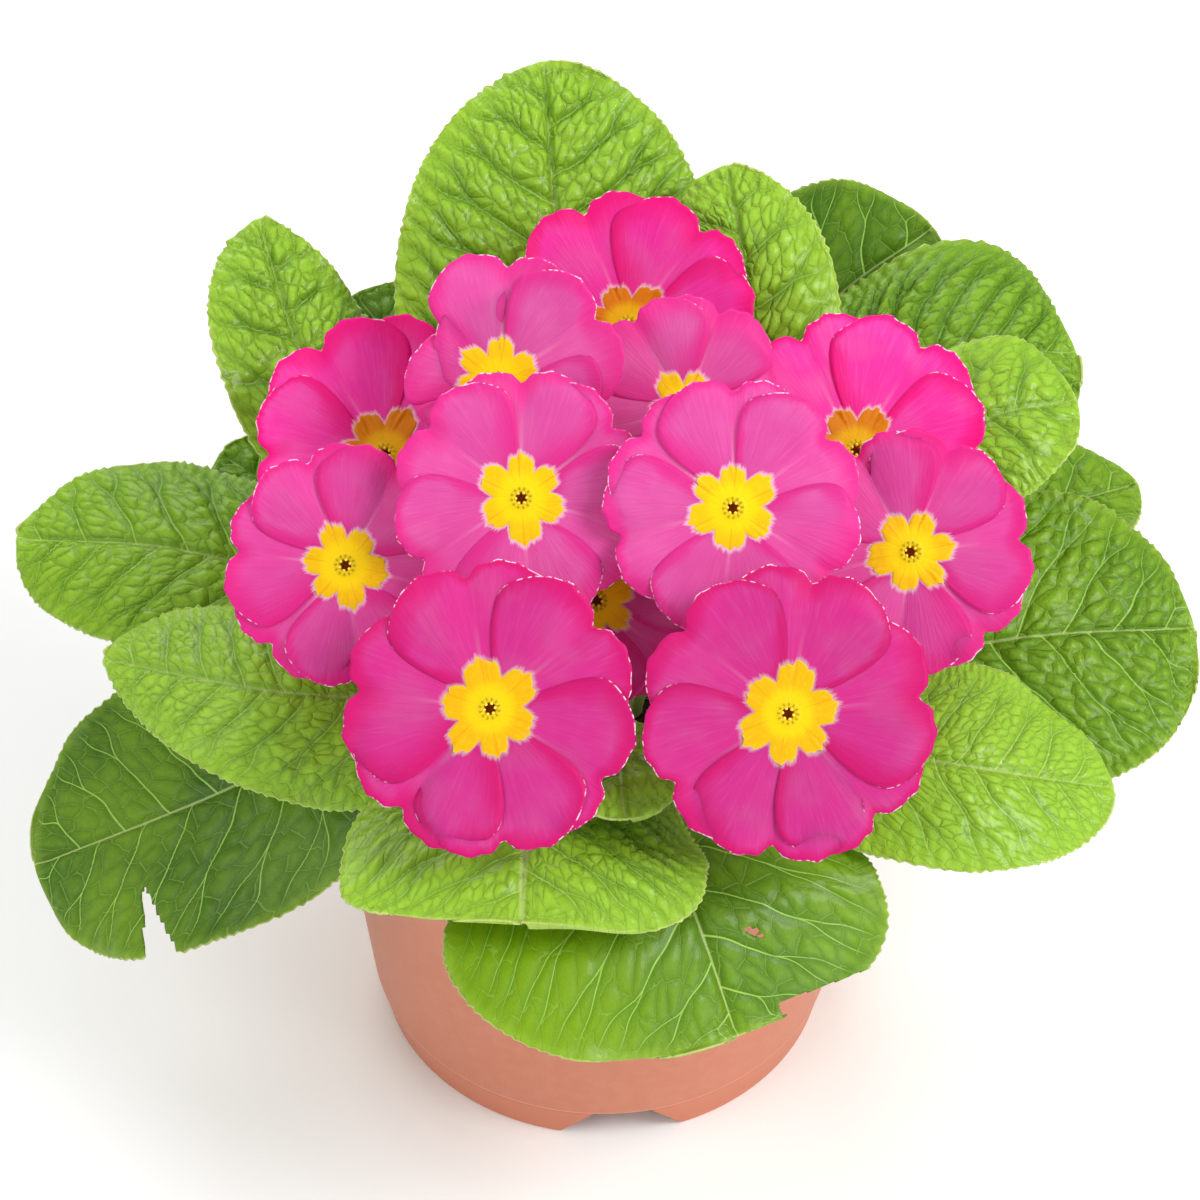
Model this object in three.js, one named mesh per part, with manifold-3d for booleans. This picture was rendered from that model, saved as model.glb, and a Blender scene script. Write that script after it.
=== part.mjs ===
// A potted primrose: a plastic pot filled with soil, a rosette of seventeen leaves and twelve
// blooms on their own stalks. Millimetres, +Z up; the origin is on the ground under the pot's axis.
import * as THREE from "three";
import { mergeVertices } from "three/addons/utils/BufferGeometryUtils.js";
import Module from "manifold-3d";

const wasm = await Module();
wasm.setup();

// ---------------------------------------------------------------- driving dimensions
const POT = {
  height: 81,
  footRadius: 44,
  footHeight: 9.5,
  wallFootRadius: 46,
  wallTopRadius: 52,
  collarRadius: 55,
  collarHeight: 11,
  wall: 1.6,
  floor: 2.2,
  baseRise: 9.3,
  sides: 32,
  ringWidth: 2.5,
  ringChamfer: 1,
  footFlare: 1.6,
  lipDrop: 1.2,
  lipStep: 0.3,
  collarChamfer: 0.6,
  innerChamfer: 4,
  notches: 3,
  notchTurn: -85,
  notchWidth: 11,
  notchSlope: 6.7,
  notchHeight: 8.8,
  notchDepth: 13,
  drainRadius: 3.5,
  drainRing: 26,
  drainTurn: -30,
  drainSides: 8,
};
const SOIL = { top: 74, mound: 3, lump: 0.9, clear: 0.3, holeFloor: 66, rings: 3, spokes: 18 };
const CROWN = { stemFoot: 67.5, collar: 76, leafHole: 3.1, stalkHole: 2.1 };
const LEAF = {
  thickness: 0.8,
  stemThickness: 2.6,
  stemHalfWidth: 2.1,
  broadest: 0.56,
  rise: 0.9,
  blunt: 2,
  tipHalfWidth: 1.3,
  tooth: 0.022,
  pleat: 0.45,
  rib: 0.5,
  stemRows: [0, 0.25, 0.38],
  bigRows: 12,
  bigColumns: [-1, -0.75, -0.4, 0, 0.4, 0.75, 1],
  smallColumns: [-1, -0.6, 0, 0.6, 1],
  ripples: 9,
  rippleShift: 2,
  ripplePower: 3,
  pleatBand: [0.1, 0.9],
  foldIn: 0.4,
  spreadStart: 0.02,
  spreadEnd: 0.3,
  rollEnd: 0.4,
  hollow: 0.3,
};
const BLOOM = {
  petals: 6,
  petalThickness: 0.65,
  petalFoot: 3.3,
  footHalfWidth: 1.9,
  petalSpread: 0.57,
  notchDepth: 0.13,
  notchWidth: 0.2,
  shoulder: 0.2,
  lap: 0.8,
  crease: 0.5,
  ringInner: 2.7,
  ringOuter: 6.8,
  ringUnder: -0.6,
  ringOver: 0.7,
  eyeRadius: 0.36,
  eyeValley: 0.23,
  eyeThickness: 0.7,
  eyeLift: 1.4,
  eyeCupShare: 0.16,
  tubeRadius: 2.1,
  tubeLength: 11,
  throatRadius: 1.0,
  throatDepth: 2.5,
  petalColumns: [1, 0.55, 0, -0.55, -1],
  petalRows: [0, 0.45, 1],
  petalWiden: 1.3,
  petalEndWidth: 0.86,
  shoulderPower: 3.5,
  cupPower: 1.7,
  lapStart: 5,
  creaseWidth: 0.2,
  starTipTurn: 14,
};
const STALK = {
  radius: 1.15,
  sides: 5,
  steps: 6,
  rise: 52,
  nod: 20,
  calyxTop: 1.2,
  calyxLength: 13.5,
  calyxRadius: 3.7,
  calyxFoot: 2.5,
  calyxWall: 0.75,
  calyxRib: 0.45,
  toothHeight: 2.6,
};

// ---------------------------------------------------------------- colours
const PAINT = {
  terracotta: { color: 0xc67c64, roughness: 0.45 },
  soil: { color: 0x2e2017, roughness: 0.95 },
  youngLeaf: { color: 0x7ea331, roughness: 0.45 },
  oldLeaf: { color: 0x476f25, roughness: 0.4 },
  petal: { color: 0xdb4796, roughness: 0.55 },
  eye: { color: 0xf8b803, roughness: 0.6 },
  stalk: { color: 0x8fae52, roughness: 0.6 },
};

// Where each leaf stands: foot is [turn in degrees, ring radius] on the crown, neck is where the
// blade begins, mid its broadest part and tip its end. Width is across the flat blade, roll turns
// the blade about its midrib, fold lifts both halves, curl bends the edges and wave ripples them.
// A blade whose sides differ says so in right and left, as seen from the neck: half is that side's
// width, broadest how far along it is widest, rise how fast it widens and blunt how square it ends.
const LEAVES = [
  {
    foot: [95, 11], neck: [-1, 31.5, 99], mid: [-8, 55, 141.5], tip: [-11, 84, 163],
    width: 57, roll: 0, fold: 0.12, curl: -0.1, wave: 1.2, rows: 12, paint: "youngLeaf",
    right: { half: 29.5, broadest: 0.45, blunt: 1.9 },
    left: { half: 33.5, broadest: 0.3, rise: 0.75, blunt: 1.7 },
  },
  {
    foot: [59, 11], neck: [16, 17, 107], mid: [26, 37, 141], tip: [23, 59, 158],
    width: 34, roll: 0, fold: 0.1, curl: -0.2, wave: 0.8, rows: 9, paint: "youngLeaf",
    right: { half: 18.5, broadest: 0.35, blunt: 1.85 },
    left: { half: 16 },
  },
  {
    foot: [62, 17.5], neck: [12, 35, 88], mid: [41, 64, 116], tip: [64, 76.5, 129],
    width: 46, roll: 24, fold: 0.1, curl: -0.1, wave: 0.8, rows: 9, paint: "oldLeaf",
    right: { half: 18, rise: 1.4 },
    left: { half: 22.5, rise: 0.5 },
  },
  {
    foot: [38, 17.5], neck: [25, 21, 94], mid: [64, 43, 122], tip: [90, 49, 121],
    width: 54, roll: 12, fold: 0.1, curl: -0.2, wave: 1.5, rows: 12, paint: "oldLeaf",
    left: { half: 27.5, broadest: 0.38, rise: 0.35, blunt: 2.7 },
  },
  {
    foot: [20, 11], neck: [30, 10, 96], mid: [66, 23, 124], tip: [88, 30, 126],
    width: 36, roll: 22, fold: 0.1, curl: -0.2, wave: 1.0, rows: 9, paint: "youngLeaf",
    right: { half: 16.5, rise: 0.6 },
    left: { half: 16, blunt: 3.2 },
  },
  {
    foot: [12, 17.5], neck: [38, 18, 85], mid: [79, 36, 89], tip: [104, 45, 91],
    width: 32.5, roll: 10, fold: 0.1, curl: -0.1, wave: 0.8, rows: 9, paint: "oldLeaf",
  },
  {
    foot: [-12, 17.5], neck: [34, -3, 84], mid: [76, 0, 93], tip: [111.4, 7, 89],
    width: 56, roll: 30, fold: 0.08, curl: -0.1, wave: 1.5, rows: 12, paint: "oldLeaf",
    right: { half: 29.5, blunt: 2.2 },
    left: { half: 28, rise: 1.3, blunt: 2.2 },
  },
  {
    foot: [-38, 11], neck: [22, -17, 89], mid: [62, -35, 97], tip: [93, -31, 86],
    width: 44, roll: 20, fold: 0.06, curl: -0.15, wave: 1.0, rows: 12, paint: "youngLeaf",
    right: { half: 19.8, broadest: 0.45, rise: 0.3 },
    left: { half: 21, rise: 1.1 },
  },
  {
    foot: [150, 11], neck: [-23, 14, 90], mid: [-53, 36, 123.5], tip: [-65, 63, 142],
    width: 38, roll: 0, fold: 0.12, curl: -0.25, wave: 2.0, rows: 12, paint: "youngLeaf",
    right: { half: 23.5, broadest: 0.22, rise: 0.7, blunt: 1.6 },
    left: { half: 17, rise: 0.45, blunt: 1.8 },
  },
  {
    foot: [120, 17.5], neck: [-16, 25, 89], mid: [-31, 51, 105], tip: [-48, 72, 116],
    width: 40, roll: 0, fold: 0.1, curl: -0.1, wave: 0.8, rows: 9, paint: "oldLeaf",
  },
  {
    foot: [180, 17.5], neck: [-31, 6, 89], mid: [-76, 15, 101], tip: [-111, 23, 97],
    width: 52, roll: -10, fold: 0.08, curl: -0.2, wave: 1.5, rows: 12, paint: "oldLeaf",
    right: { half: 22.5 },
    left: { half: 22.5, rise: 0.9, blunt: 1.85 },
  },
  {
    foot: [157, 17.5], neck: [-29, 17, 84], mid: [-54, 35, 90], tip: [-74, 48, 96],
    width: 30, roll: 0, fold: 0.1, curl: -0.1, wave: 0.8, rows: 9, paint: "oldLeaf",
  },
  {
    foot: [205, 11], neck: [-24, -15, 91], mid: [-58, -27, 107], tip: [-91, -13, 101],
    width: 40, roll: -28, fold: -0.1, curl: -0.25, wave: 1.0, rows: 12, paint: "youngLeaf",
    right: { half: 20, blunt: 2.2 },
    left: { half: 20, broadest: 0.35, rise: 0.35, blunt: 1.6 },
  },
  {
    foot: [220, 17.5], neck: [-37, -13, 89], mid: [-71, -22, 75], tip: [-108, -19, 51],
    width: 56, roll: -22, fold: 0.04, curl: -0.08, wave: 1.5, rows: 12, paint: "oldLeaf",
    right: { half: 31, rise: 0.6 },
    left: { half: 27.5, rise: 0.2, blunt: 2.3 },
    tears: [[[0.57, -40], [0.7, -9], [0.74, -40]]],
  },
  {
    foot: [242, 11], neck: [-7, -26, 91], mid: [-13, -55, 99], tip: [-14, -72, 96],
    width: 64, roll: 0, fold: 0.06, curl: -0.1, wave: 1.5, rows: 12, paint: "youngLeaf",
    right: { half: 32, rise: 0.55, blunt: 5.5 },
    left: { half: 32, rise: 0.55, blunt: 4.5 },
  },
  {
    foot: [-60, 17.5], neck: [7, -34, 88], mid: [16, -59.5, 86], tip: [24, -76, 70],
    width: 82, roll: 0, fold: 0.04, curl: -0.08, wave: 1.5, rows: 12, paint: "oldLeaf",
    right: { half: 45, broadest: 0.42, rise: 0.6, blunt: 2 },
    left: { half: 34.5, broadest: 0.6, rise: 0.6, blunt: 4.5 },
    tears: [[[0.97, -45], [0.94, -9], [1.15, -9]], [[0.65, -6], [0.66, -9.5], [0.75, -11.5]]],
  },
  {
    foot: [-80, 11], neck: [2, -25, 98], mid: [3, -46, 108], tip: [4, -57, 106],
    width: 24, roll: 0, fold: 0.1, curl: -0.1, wave: 0.8, rows: 9, paint: "youngLeaf",
  },
];

// Where each bloom stands: at is the middle of its face, face the way it looks as [turn, rise] in
// degrees, spin turns the petals, drift says how many degrees each stands off its sixth, radius is
// the petals' reach, cup how far they stand up and tuck the share by which the lowest petal is
// shorter where the next bloom crowds it. trim says how much shorter each petal is where another
// bloom stands beside it. laps says for each pair of neighbours which petal lies on top, foot is as
// for the leaves.
const BLOOMS = [
  {
    at: [4.7, 30.8, 143], face: [-90, 60], spin: -8, foot: [90, 6.5],
    radius: 23.5, cup: 0.24, tuck: 0.3, trim: [0, 0, 0, 0.2, 0, 0], laps: "+++-+-",
  },
  {
    at: [-18.3, 4.1, 153], face: [-96, 48], spin: -34, foot: [125, 6.5],
    radius: 22.3, cup: 0.1, tuck: 0.3, trim: [0.07, 0, 0, 0.34, 0.45, 0.2], laps: "+++--+",
    drift: [1, 11, 4, -4, -11, -1],
  },
  {
    at: [14.9, 5.3, 145.6], face: [-84, 46], spin: 8, foot: [55, 3],
    radius: 19.6, cup: 0.1, tuck: 0.2, trim: [0.15, 0, 0, 0, 0, 0.1], laps: "--+-+-",
    drift: [-4, -1, -11, 3, 11, 2],
  },
  {
    at: [-39.2, 8.4, 131.9], face: [-100, 58], spin: 10, foot: [168, 6.5],
    radius: 24, cup: 0.22, tuck: 0.3, trim: [0.16, 0, 0, 0, 0, 0.2], laps: "---+-+",
  },
  {
    at: [45.9, 8.9, 132.3], face: [-80, 58], spin: -10, foot: [12, 6.5],
    radius: 24, cup: 0.22, tuck: 0.3, laps: "+++-+-",
  },
  {
    at: [-45.2, -19.3, 130.8], face: [-94, 45], spin: -8, foot: [203, 6.5],
    radius: 20.8, cup: 0.08, laps: "-+++-+", drift: [-3, 11, 1, 4, -2, -11],
  },
  {
    at: [-14.1, -16.1, 144], face: [-90, 45], spin: 34, foot: [200, 2.6],
    radius: 22, cup: 0.06, laps: "----++", drift: [4, -4, -11, -1, 1, 11],
  },
  {
    at: [22.6, -20.2, 145.5], face: [-90, 45], spin: -34, foot: [-35, 3],
    radius: 22, cup: 0.06, laps: "+++--+", drift: [1, 11, 4, -4, -11, -1],
  },
  {
    at: [54.2, -17.7, 132.5], face: [-86, 45], spin: 8, foot: [-25, 6.5],
    radius: 21, cup: 0.08, laps: "--+-+-", drift: [-4, -1, -11, 3, 11, 2],
  },
  {
    at: [-1, -21.6, 124.3], face: [-90, 45], spin: 22, foot: [-90, 2.8],
    radius: 18.5, cup: 0.06, laps: "+-+-+-",
  },
  {
    at: [-19.3, -48.8, 125.2], face: [-92, 44], spin: -18, foot: [235, 6.5],
    radius: 24.9, cup: 0.05, laps: "++++++", drift: [-12, -2, 0, 12, 8, -4],
  },
  {
    at: [31.8, -50.1, 125.3], face: [-88, 44], spin: 18, foot: [-55, 6.5],
    radius: 24.9, cup: 0.05, laps: "------", drift: [-12, 0, 2, 12, 4, -8],
  },
];

// ---------------------------------------------------------------- small helpers
const rad = THREE.MathUtils.degToRad;
const smooth = THREE.MathUtils.smoothstep;
const vec = (p) => new THREE.Vector3(...p);
const polar = (turn, radius, z) =>
  new THREE.Vector3(radius * Math.cos(rad(turn)), radius * Math.sin(rad(turn)), z);
const named = (i) => String(i + 1).padStart(2, "0");

function geometryOf(points, triangles) {
  const geometry = new THREE.BufferGeometry();
  geometry.setAttribute("position", new THREE.Float32BufferAttribute(points.flat(), 3));
  geometry.setIndex(triangles.flat());
  return geometry;
}

function solid(geometry) {
  const bare = geometry.clone();
  bare.deleteAttribute("normal");
  bare.deleteAttribute("uv");
  const merged = mergeVertices(bare, 1e-4);
  return new wasm.Manifold(
    new wasm.Mesh({
      numProp: 3,
      vertProperties: merged.attributes.position.array,
      triVerts: new Uint32Array(merged.index.array),
    }),
  );
}

function geometryFrom(body) {
  const made = body.getMesh();
  const geometry = new THREE.BufferGeometry();
  geometry.setAttribute("position", new THREE.BufferAttribute(made.vertProperties.slice(), 3));
  geometry.setIndex(new THREE.BufferAttribute(made.triVerts.slice(), 1));
  geometry.computeVertexNormals();
  return geometry;
}

function meshOf(name, geometry, paint) {
  const material = new THREE.MeshStandardMaterial({ ...PAINT[paint], metalness: 0 });
  const mesh = new THREE.Mesh(geometry, material);
  mesh.name = name;
  return mesh;
}

// A blade: a grid of points with a thickness and an upward side, split alike on both faces.
function blade(rows) {
  const across = rows[0].length;
  const faces = [1, -1].map((side) =>
    rows.flat().map((p) => p.point.clone().addScaledVector(p.up, (side * p.thick) / 2).toArray()),
  );
  const under = rows.length * across;
  const at = (i, j) => i * across + j;
  const triangles = [];
  for (let i = 0; i + 1 < rows.length; i++) {
    for (let j = 0; j + 1 < across; j++) {
      const [a, b, c, d] = [at(i, j), at(i, j + 1), at(i + 1, j + 1), at(i + 1, j)];
      const split = (j < (across - 1) / 2)
        ? [[a, b, c], [a, c, d]]
        : [[a, b, d], [b, c, d]];
      for (const [p, q, r] of split) triangles.push([p, q, r], [under + p, under + r, under + q]);
    }
  }
  const rim = [];
  for (let j = 0; j + 1 < across; j++) rim.push(at(0, j));
  for (let i = 0; i + 1 < rows.length; i++) rim.push(at(i, across - 1));
  for (let j = across - 1; j > 0; j--) rim.push(at(rows.length - 1, j));
  for (let i = rows.length - 1; i > 0; i--) rim.push(at(i, 0));
  rim.forEach((a, n) => {
    const b = rim[(n + 1) % rim.length];
    triangles.push([a, under + a, under + b], [a, under + b, b]);
  });
  return geometryOf([...faces[0], ...faces[1]], triangles);
}

// A closed skin over rings of points, each ring with the same number, with a fan at each end.
function skin(rings) {
  const count = rings[0].length;
  const points = rings.flat().map((p) => p.toArray());
  const triangles = [];
  for (let i = 0; i + 1 < rings.length; i++) {
    for (let j = 0; j < count; j++) {
      const a = i * count + j;
      const b = i * count + ((j + 1) % count);
      triangles.push([a, b, b + count], [a, b + count, a + count]);
    }
  }
  for (const [ring, turn] of [[0, 1], [rings.length - 1, -1]]) {
    const middle = rings[ring]
      .reduce((sum, p) => sum.add(p), new THREE.Vector3())
      .divideScalar(count);
    points.push(middle.toArray());
    for (let j = 0; j < count; j++) {
      const a = ring * count + j;
      const b = ring * count + ((j + 1) % count);
      triangles.push(turn > 0 ? [b, a, points.length - 1] : [a, b, points.length - 1]);
    }
  }
  return geometryOf(points, triangles);
}

function disc(radius, sides, from, to, x, y) {
  const made = new THREE.CylinderGeometry(radius, radius, to - from, sides);
  made.rotateX(Math.PI / 2);
  made.translate(x, y, (from + to) / 2);
  return solid(made);
}

// ---------------------------------------------------------------- pot
function potProfile() {
  const collarFoot = POT.height - POT.collarHeight;
  const wallInnerFoot = POT.wallFootRadius - POT.wall;
  return [
    [0, POT.baseRise],
    [POT.footRadius - POT.ringWidth - POT.ringChamfer, POT.baseRise],
    [POT.footRadius - POT.ringWidth, 0],
    [POT.footRadius, 0],
    [POT.footRadius + POT.footFlare, POT.footHeight - POT.lipDrop],
    [POT.wallFootRadius - POT.lipStep, POT.footHeight - POT.lipDrop / 2],
    [POT.wallFootRadius, POT.footHeight],
    [POT.wallTopRadius, collarFoot],
    [POT.collarRadius - POT.collarChamfer, collarFoot + POT.collarChamfer],
    [POT.collarRadius, POT.height],
    [POT.collarRadius - POT.wall, POT.height],
    [POT.wallTopRadius - POT.wall, collarFoot + 1],
    [wallInnerFoot, POT.baseRise + POT.floor + POT.innerChamfer],
    [wallInnerFoot - POT.innerChamfer, POT.baseRise + POT.floor],
    [0, POT.baseRise + POT.floor],
  ];
}

// A wedge that cuts one notch with sloping ends out of the foot ring.
function footNotch(turn) {
  const half = POT.notchWidth / 2;
  const shape = new THREE.Shape();
  shape.moveTo(-half - POT.notchSlope, -1);
  shape.lineTo(half + POT.notchSlope, -1);
  shape.lineTo(half + POT.notchSlope * 0.88, 0.4);
  shape.lineTo(half, POT.notchHeight);
  shape.lineTo(-half, POT.notchHeight);
  shape.lineTo(-half - POT.notchSlope * 0.88, 0.4);
  const wedge = new THREE.ExtrudeGeometry(shape, { depth: POT.notchDepth, bevelEnabled: false });
  wedge.rotateX(Math.PI / 2);
  wedge.translate(0, POT.footRadius + 5, 0);
  wedge.rotateZ(rad(turn - 90));
  return solid(wedge);
}

function makePot() {
  const profile = potProfile().map(([r, z]) => new THREE.Vector2(r, z));
  const lathe = new THREE.LatheGeometry(profile, POT.sides);
  lathe.rotateX(Math.PI / 2);
  let body = solid(lathe);
  const floorTop = POT.baseRise + POT.floor;
  for (let i = 0; i < POT.notches; i++) {
    const turn = (360 * i) / POT.notches;
    body = body.subtract(footNotch(POT.notchTurn + turn));
    const drain = polar(POT.drainTurn + turn, POT.drainRing, 0);
    body = body.subtract(disc(POT.drainRadius, POT.drainSides, 0, floorTop + 1, drain.x, drain.y));
  }
  return meshOf("pot", geometryFrom(body), "terracotta");
}

// ---------------------------------------------------------------- soil
const soilLump = (x, y) =>
  SOIL.lump * (Math.sin(0.31 * x + 1.3 * Math.sin(0.17 * y)) + Math.cos(0.27 * y + 0.6 + 0.11 * x));

function makeSoil() {
  const floor = POT.baseRise + POT.floor + SOIL.clear;
  const innerFoot = POT.wallFootRadius - POT.wall - SOIL.clear;
  const innerTop = POT.wallTopRadius - POT.wall - SOIL.clear;
  const rings = [
    [innerFoot - 4.3, floor],
    [innerFoot, floor + 4.2],
    [innerTop, POT.height - POT.collarHeight + 0.5],
  ].map(([r, z]) => circle(r, SOIL.spokes, z));
  for (let i = 0; i < SOIL.rings; i++) {
    const share = 1 - i / SOIL.rings;
    const radius = (innerTop - 0.4) * share;
    const ring = circle(radius, SOIL.spokes, 0);
    for (const p of ring) p.z = SOIL.top + SOIL.mound * (1 - share) * share + soilLump(p.x, p.y);
    rings.push(ring);
  }
  let body = solid(skin(rings));
  for (const [list, radius, sides] of [[LEAVES, CROWN.leafHole, 6], [BLOOMS, CROWN.stalkHole, 5]]) {
    for (const one of list) {
      const foot = polar(one.foot[0], one.foot[1], 0);
      body = body.subtract(disc(radius, sides, SOIL.holeFloor, SOIL.top + 12, foot.x, foot.y));
    }
  }
  return meshOf("soil", geometryFrom(body), "soil");
}

function circle(radius, count, z) {
  return Array.from({ length: count }, (_, i) => polar((360 * i) / count, radius, z));
}

// ---------------------------------------------------------------- leaves
// The midrib runs up out of the soil, along the stem to the neck, and through mid to the tip.
function midrib(leaf) {
  const foot = polar(leaf.foot[0], leaf.foot[1], CROWN.stemFoot);
  const collar = foot.clone().setZ(CROWN.collar);
  const points = [foot, collar, vec(leaf.neck), vec(leaf.mid), vec(leaf.tip)];
  return new THREE.CatmullRomCurve3(points, false, "catmullrom", 0.5);
}

// How far one side of the blade reaches, q of the way from neck to tip: a slow rise, then a round
// end. The stem runs into it, and the tip keeps a little width.
function bladeReach(leaf, q, side) {
  const shape = { half: leaf.width / 2, ...LEAF, ...(side > 0 ? leaf.right : leaf.left) };
  const low = Math.min(1, q / shape.broadest);
  const high = Math.max(0, (q - shape.broadest) / (1 - shape.broadest));
  const rise = Math.pow(Math.sin((Math.PI / 2) * low), shape.rise);
  const end = Math.pow(Math.max(0, 1 - Math.pow(high, shape.blunt)), 1 / shape.blunt);
  const blade = Math.max(shape.half * rise * end, q > 0.5 ? LEAF.tipHalfWidth : 0);
  return Math.hypot(LEAF.stemHalfWidth * (1 - q), blade);
}

// How far along the blade each row lies, closer together at the round tip.
function bladeRows(count) {
  const low = Math.ceil(count / 2);
  const near = Array.from({ length: low }, (_, i) => (LEAF.broadest * i) / low);
  const far = Array.from(
    { length: count - low },
    (_, i) => LEAF.broadest + (1 - LEAF.broadest) * Math.sin(((Math.PI / 2) * i) / (count - low - 1)),
  );
  return [...near, ...far];
}

// The upper side of the blade. It faces the crown's axis where the stem rises, and up from the
// line between neck and tip further out.
function bladeUp(leaf, t, tangent) {
  const inward = polar(leaf.foot[0], -1, 0);
  const line = vec(leaf.tip).sub(vec(leaf.neck)).normalize();
  const above = new THREE.Vector3(0, 0, 1).addScaledVector(line, -line.z).normalize();
  const up = inward.lerp(above, smooth(t, 0.1, 0.6));
  return up.addScaledVector(tangent, -up.dot(tangent)).normalize();
}

function leafRow(leaf, curve, t, row) {
  const columns = leaf.rows < LEAF.bigRows ? LEAF.smallColumns : LEAF.bigColumns;
  const q = Math.max(0, (t - 0.5) * 2);
  const point = curve.getPoint(t);
  const tangent = curve.getTangent(t);
  const up = bladeUp(leaf, t, tangent);
  up.applyAxisAngle(tangent, rad(leaf.roll) * smooth(q, 0, LEAF.rollEnd));
  const side = tangent.clone().cross(up).normalize();
  const halves = [bladeReach(leaf, q, -1), bladeReach(leaf, q, 1)];
  const spread = smooth(q, LEAF.spreadStart, LEAF.spreadEnd);
  const zigzag = row % 2 ? 1 : -1;
  return columns.map((c) => {
    const edge = Math.abs(c);
    const half = c > 0 ? halves[1] : halves[0];
    const tooth = edge === 1 ? 1 + LEAF.tooth * zigzag * spread : 1;
    const bend = leaf.fold * edge + leaf.curl * edge * edge;
    const phase = LEAF.ripples * q + (c > 0 ? 0 : LEAF.rippleShift);
    const ripple = leaf.wave * edge ** LEAF.ripplePower * Math.sin(phase) * spread;
    const inside = edge > LEAF.pleatBand[0] && edge < LEAF.pleatBand[1];
    const pleat = inside ? LEAF.pleat * zigzag * spread : 0;
    const rib = c === 0 ? -LEAF.rib * spread : 0;
    const lift = half * bend * spread + ripple + pleat + rib;
    const reach = half * c * tooth * (1 - LEAF.foldIn * bend * bend * spread);
    const stem = LEAF.stemThickness * (1 - LEAF.hollow * edge);
    const thin = THREE.MathUtils.lerp(stem, LEAF.thickness, spread);
    return {
      point: point.clone().addScaledVector(side, reach).addScaledVector(up, lift),
      up: up.clone(),
      thick: thin,
    };
  });
}

// A tear or hole straight through the blade. Each corner says how far along the blade it lies, from
// 0 at the neck to 1 at the tip, and how many millimetres out from the midrib.
function tear(leaf, curve, corners) {
  const mid = vec(leaf.mid);
  const length = mid.distanceTo(vec(leaf.neck)) + mid.distanceTo(vec(leaf.tip));
  const middle = corners.reduce((sum, c) => sum + c[0], 0) / corners.length;
  const t = 0.5 + middle / 2;
  const along = curve.getTangent(t);
  const up = bladeUp(leaf, t, along).applyAxisAngle(along, rad(leaf.roll));
  const side = along.clone().cross(up).normalize();
  const outline = corners.map(([q, out]) => new THREE.Vector2((q - middle) * length, out));
  const shape = new THREE.Shape(outline);
  const prism = new THREE.ExtrudeGeometry(shape, { depth: 40, bevelEnabled: false });
  prism.translate(0, 0, -20);
  prism.applyMatrix4(new THREE.Matrix4().makeBasis(along, side, along.clone().cross(side)));
  prism.translate(...curve.getPoint(t));
  return solid(prism);
}

function makeLeaf(leaf, index) {
  const curve = midrib(leaf);
  const along = [...LEAF.stemRows, ...bladeRows(leaf.rows).map((q) => 0.5 + q / 2)];
  const rows = along.map((t, i) => leafRow(leaf, curve, t, i));
  let body = solid(blade(rows));
  for (const corners of leaf.tears ?? []) body = body.subtract(tear(leaf, curve, corners));
  return meshOf("leaf_" + named(index), geometryFrom(body), leaf.paint);
}

// ---------------------------------------------------------------- blooms
// A bloom's own frame: Z looks the way the bloom faces, X turns with its spin.
function bloomFrame(bloom) {
  const [turn, rise] = bloom.face.map(rad);
  const out = new THREE.Vector3(
    Math.cos(rise) * Math.cos(turn),
    Math.cos(rise) * Math.sin(turn),
    Math.sin(rise),
  );
  const top = new THREE.Vector3(0, 0, 1).addScaledVector(out, -out.z).normalize();
  const right = top.clone().cross(out);
  const frame = new THREE.Matrix4().makeBasis(right, top, out);
  frame.multiply(new THREE.Matrix4().makeRotationZ(rad(bloom.spin)));
  frame.setPosition(...bloom.at);
  return frame;
}

// Height of a petal over the bloom's plane: the cup, the crease down its middle, and the lap that
// lifts each side over or under its neighbour.
function petalLift(bloom, radius, c, p, over, under) {
  const cup = bloom.cup * bloom.radius * (radius / bloom.radius) ** BLOOM.cupPower;
  const lap = BLOOM.lap * Math.min(1, p * BLOOM.lapStart) * (c > 0 ? over * c : -under * -c);
  const crease = -BLOOM.crease * p * Math.exp(-((c / BLOOM.creaseWidth) ** 2));
  return cup + lap + crease;
}

function petalEdge(c) {
  const notch = BLOOM.notchDepth * Math.exp(-((c / BLOOM.notchWidth) ** 2));
  return 1 - notch - BLOOM.shoulder * Math.abs(c) ** BLOOM.shoulderPower;
}

// The turn of a petal, or of its part of the star, in degrees round the bloom. The index may run
// one past either end.
function petalTurn(bloom, index) {
  const drift = bloom.drift?.[(index + BLOOM.petals) % BLOOM.petals] ?? 0;
  return (360 * index) / BLOOM.petals + drift;
}

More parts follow.
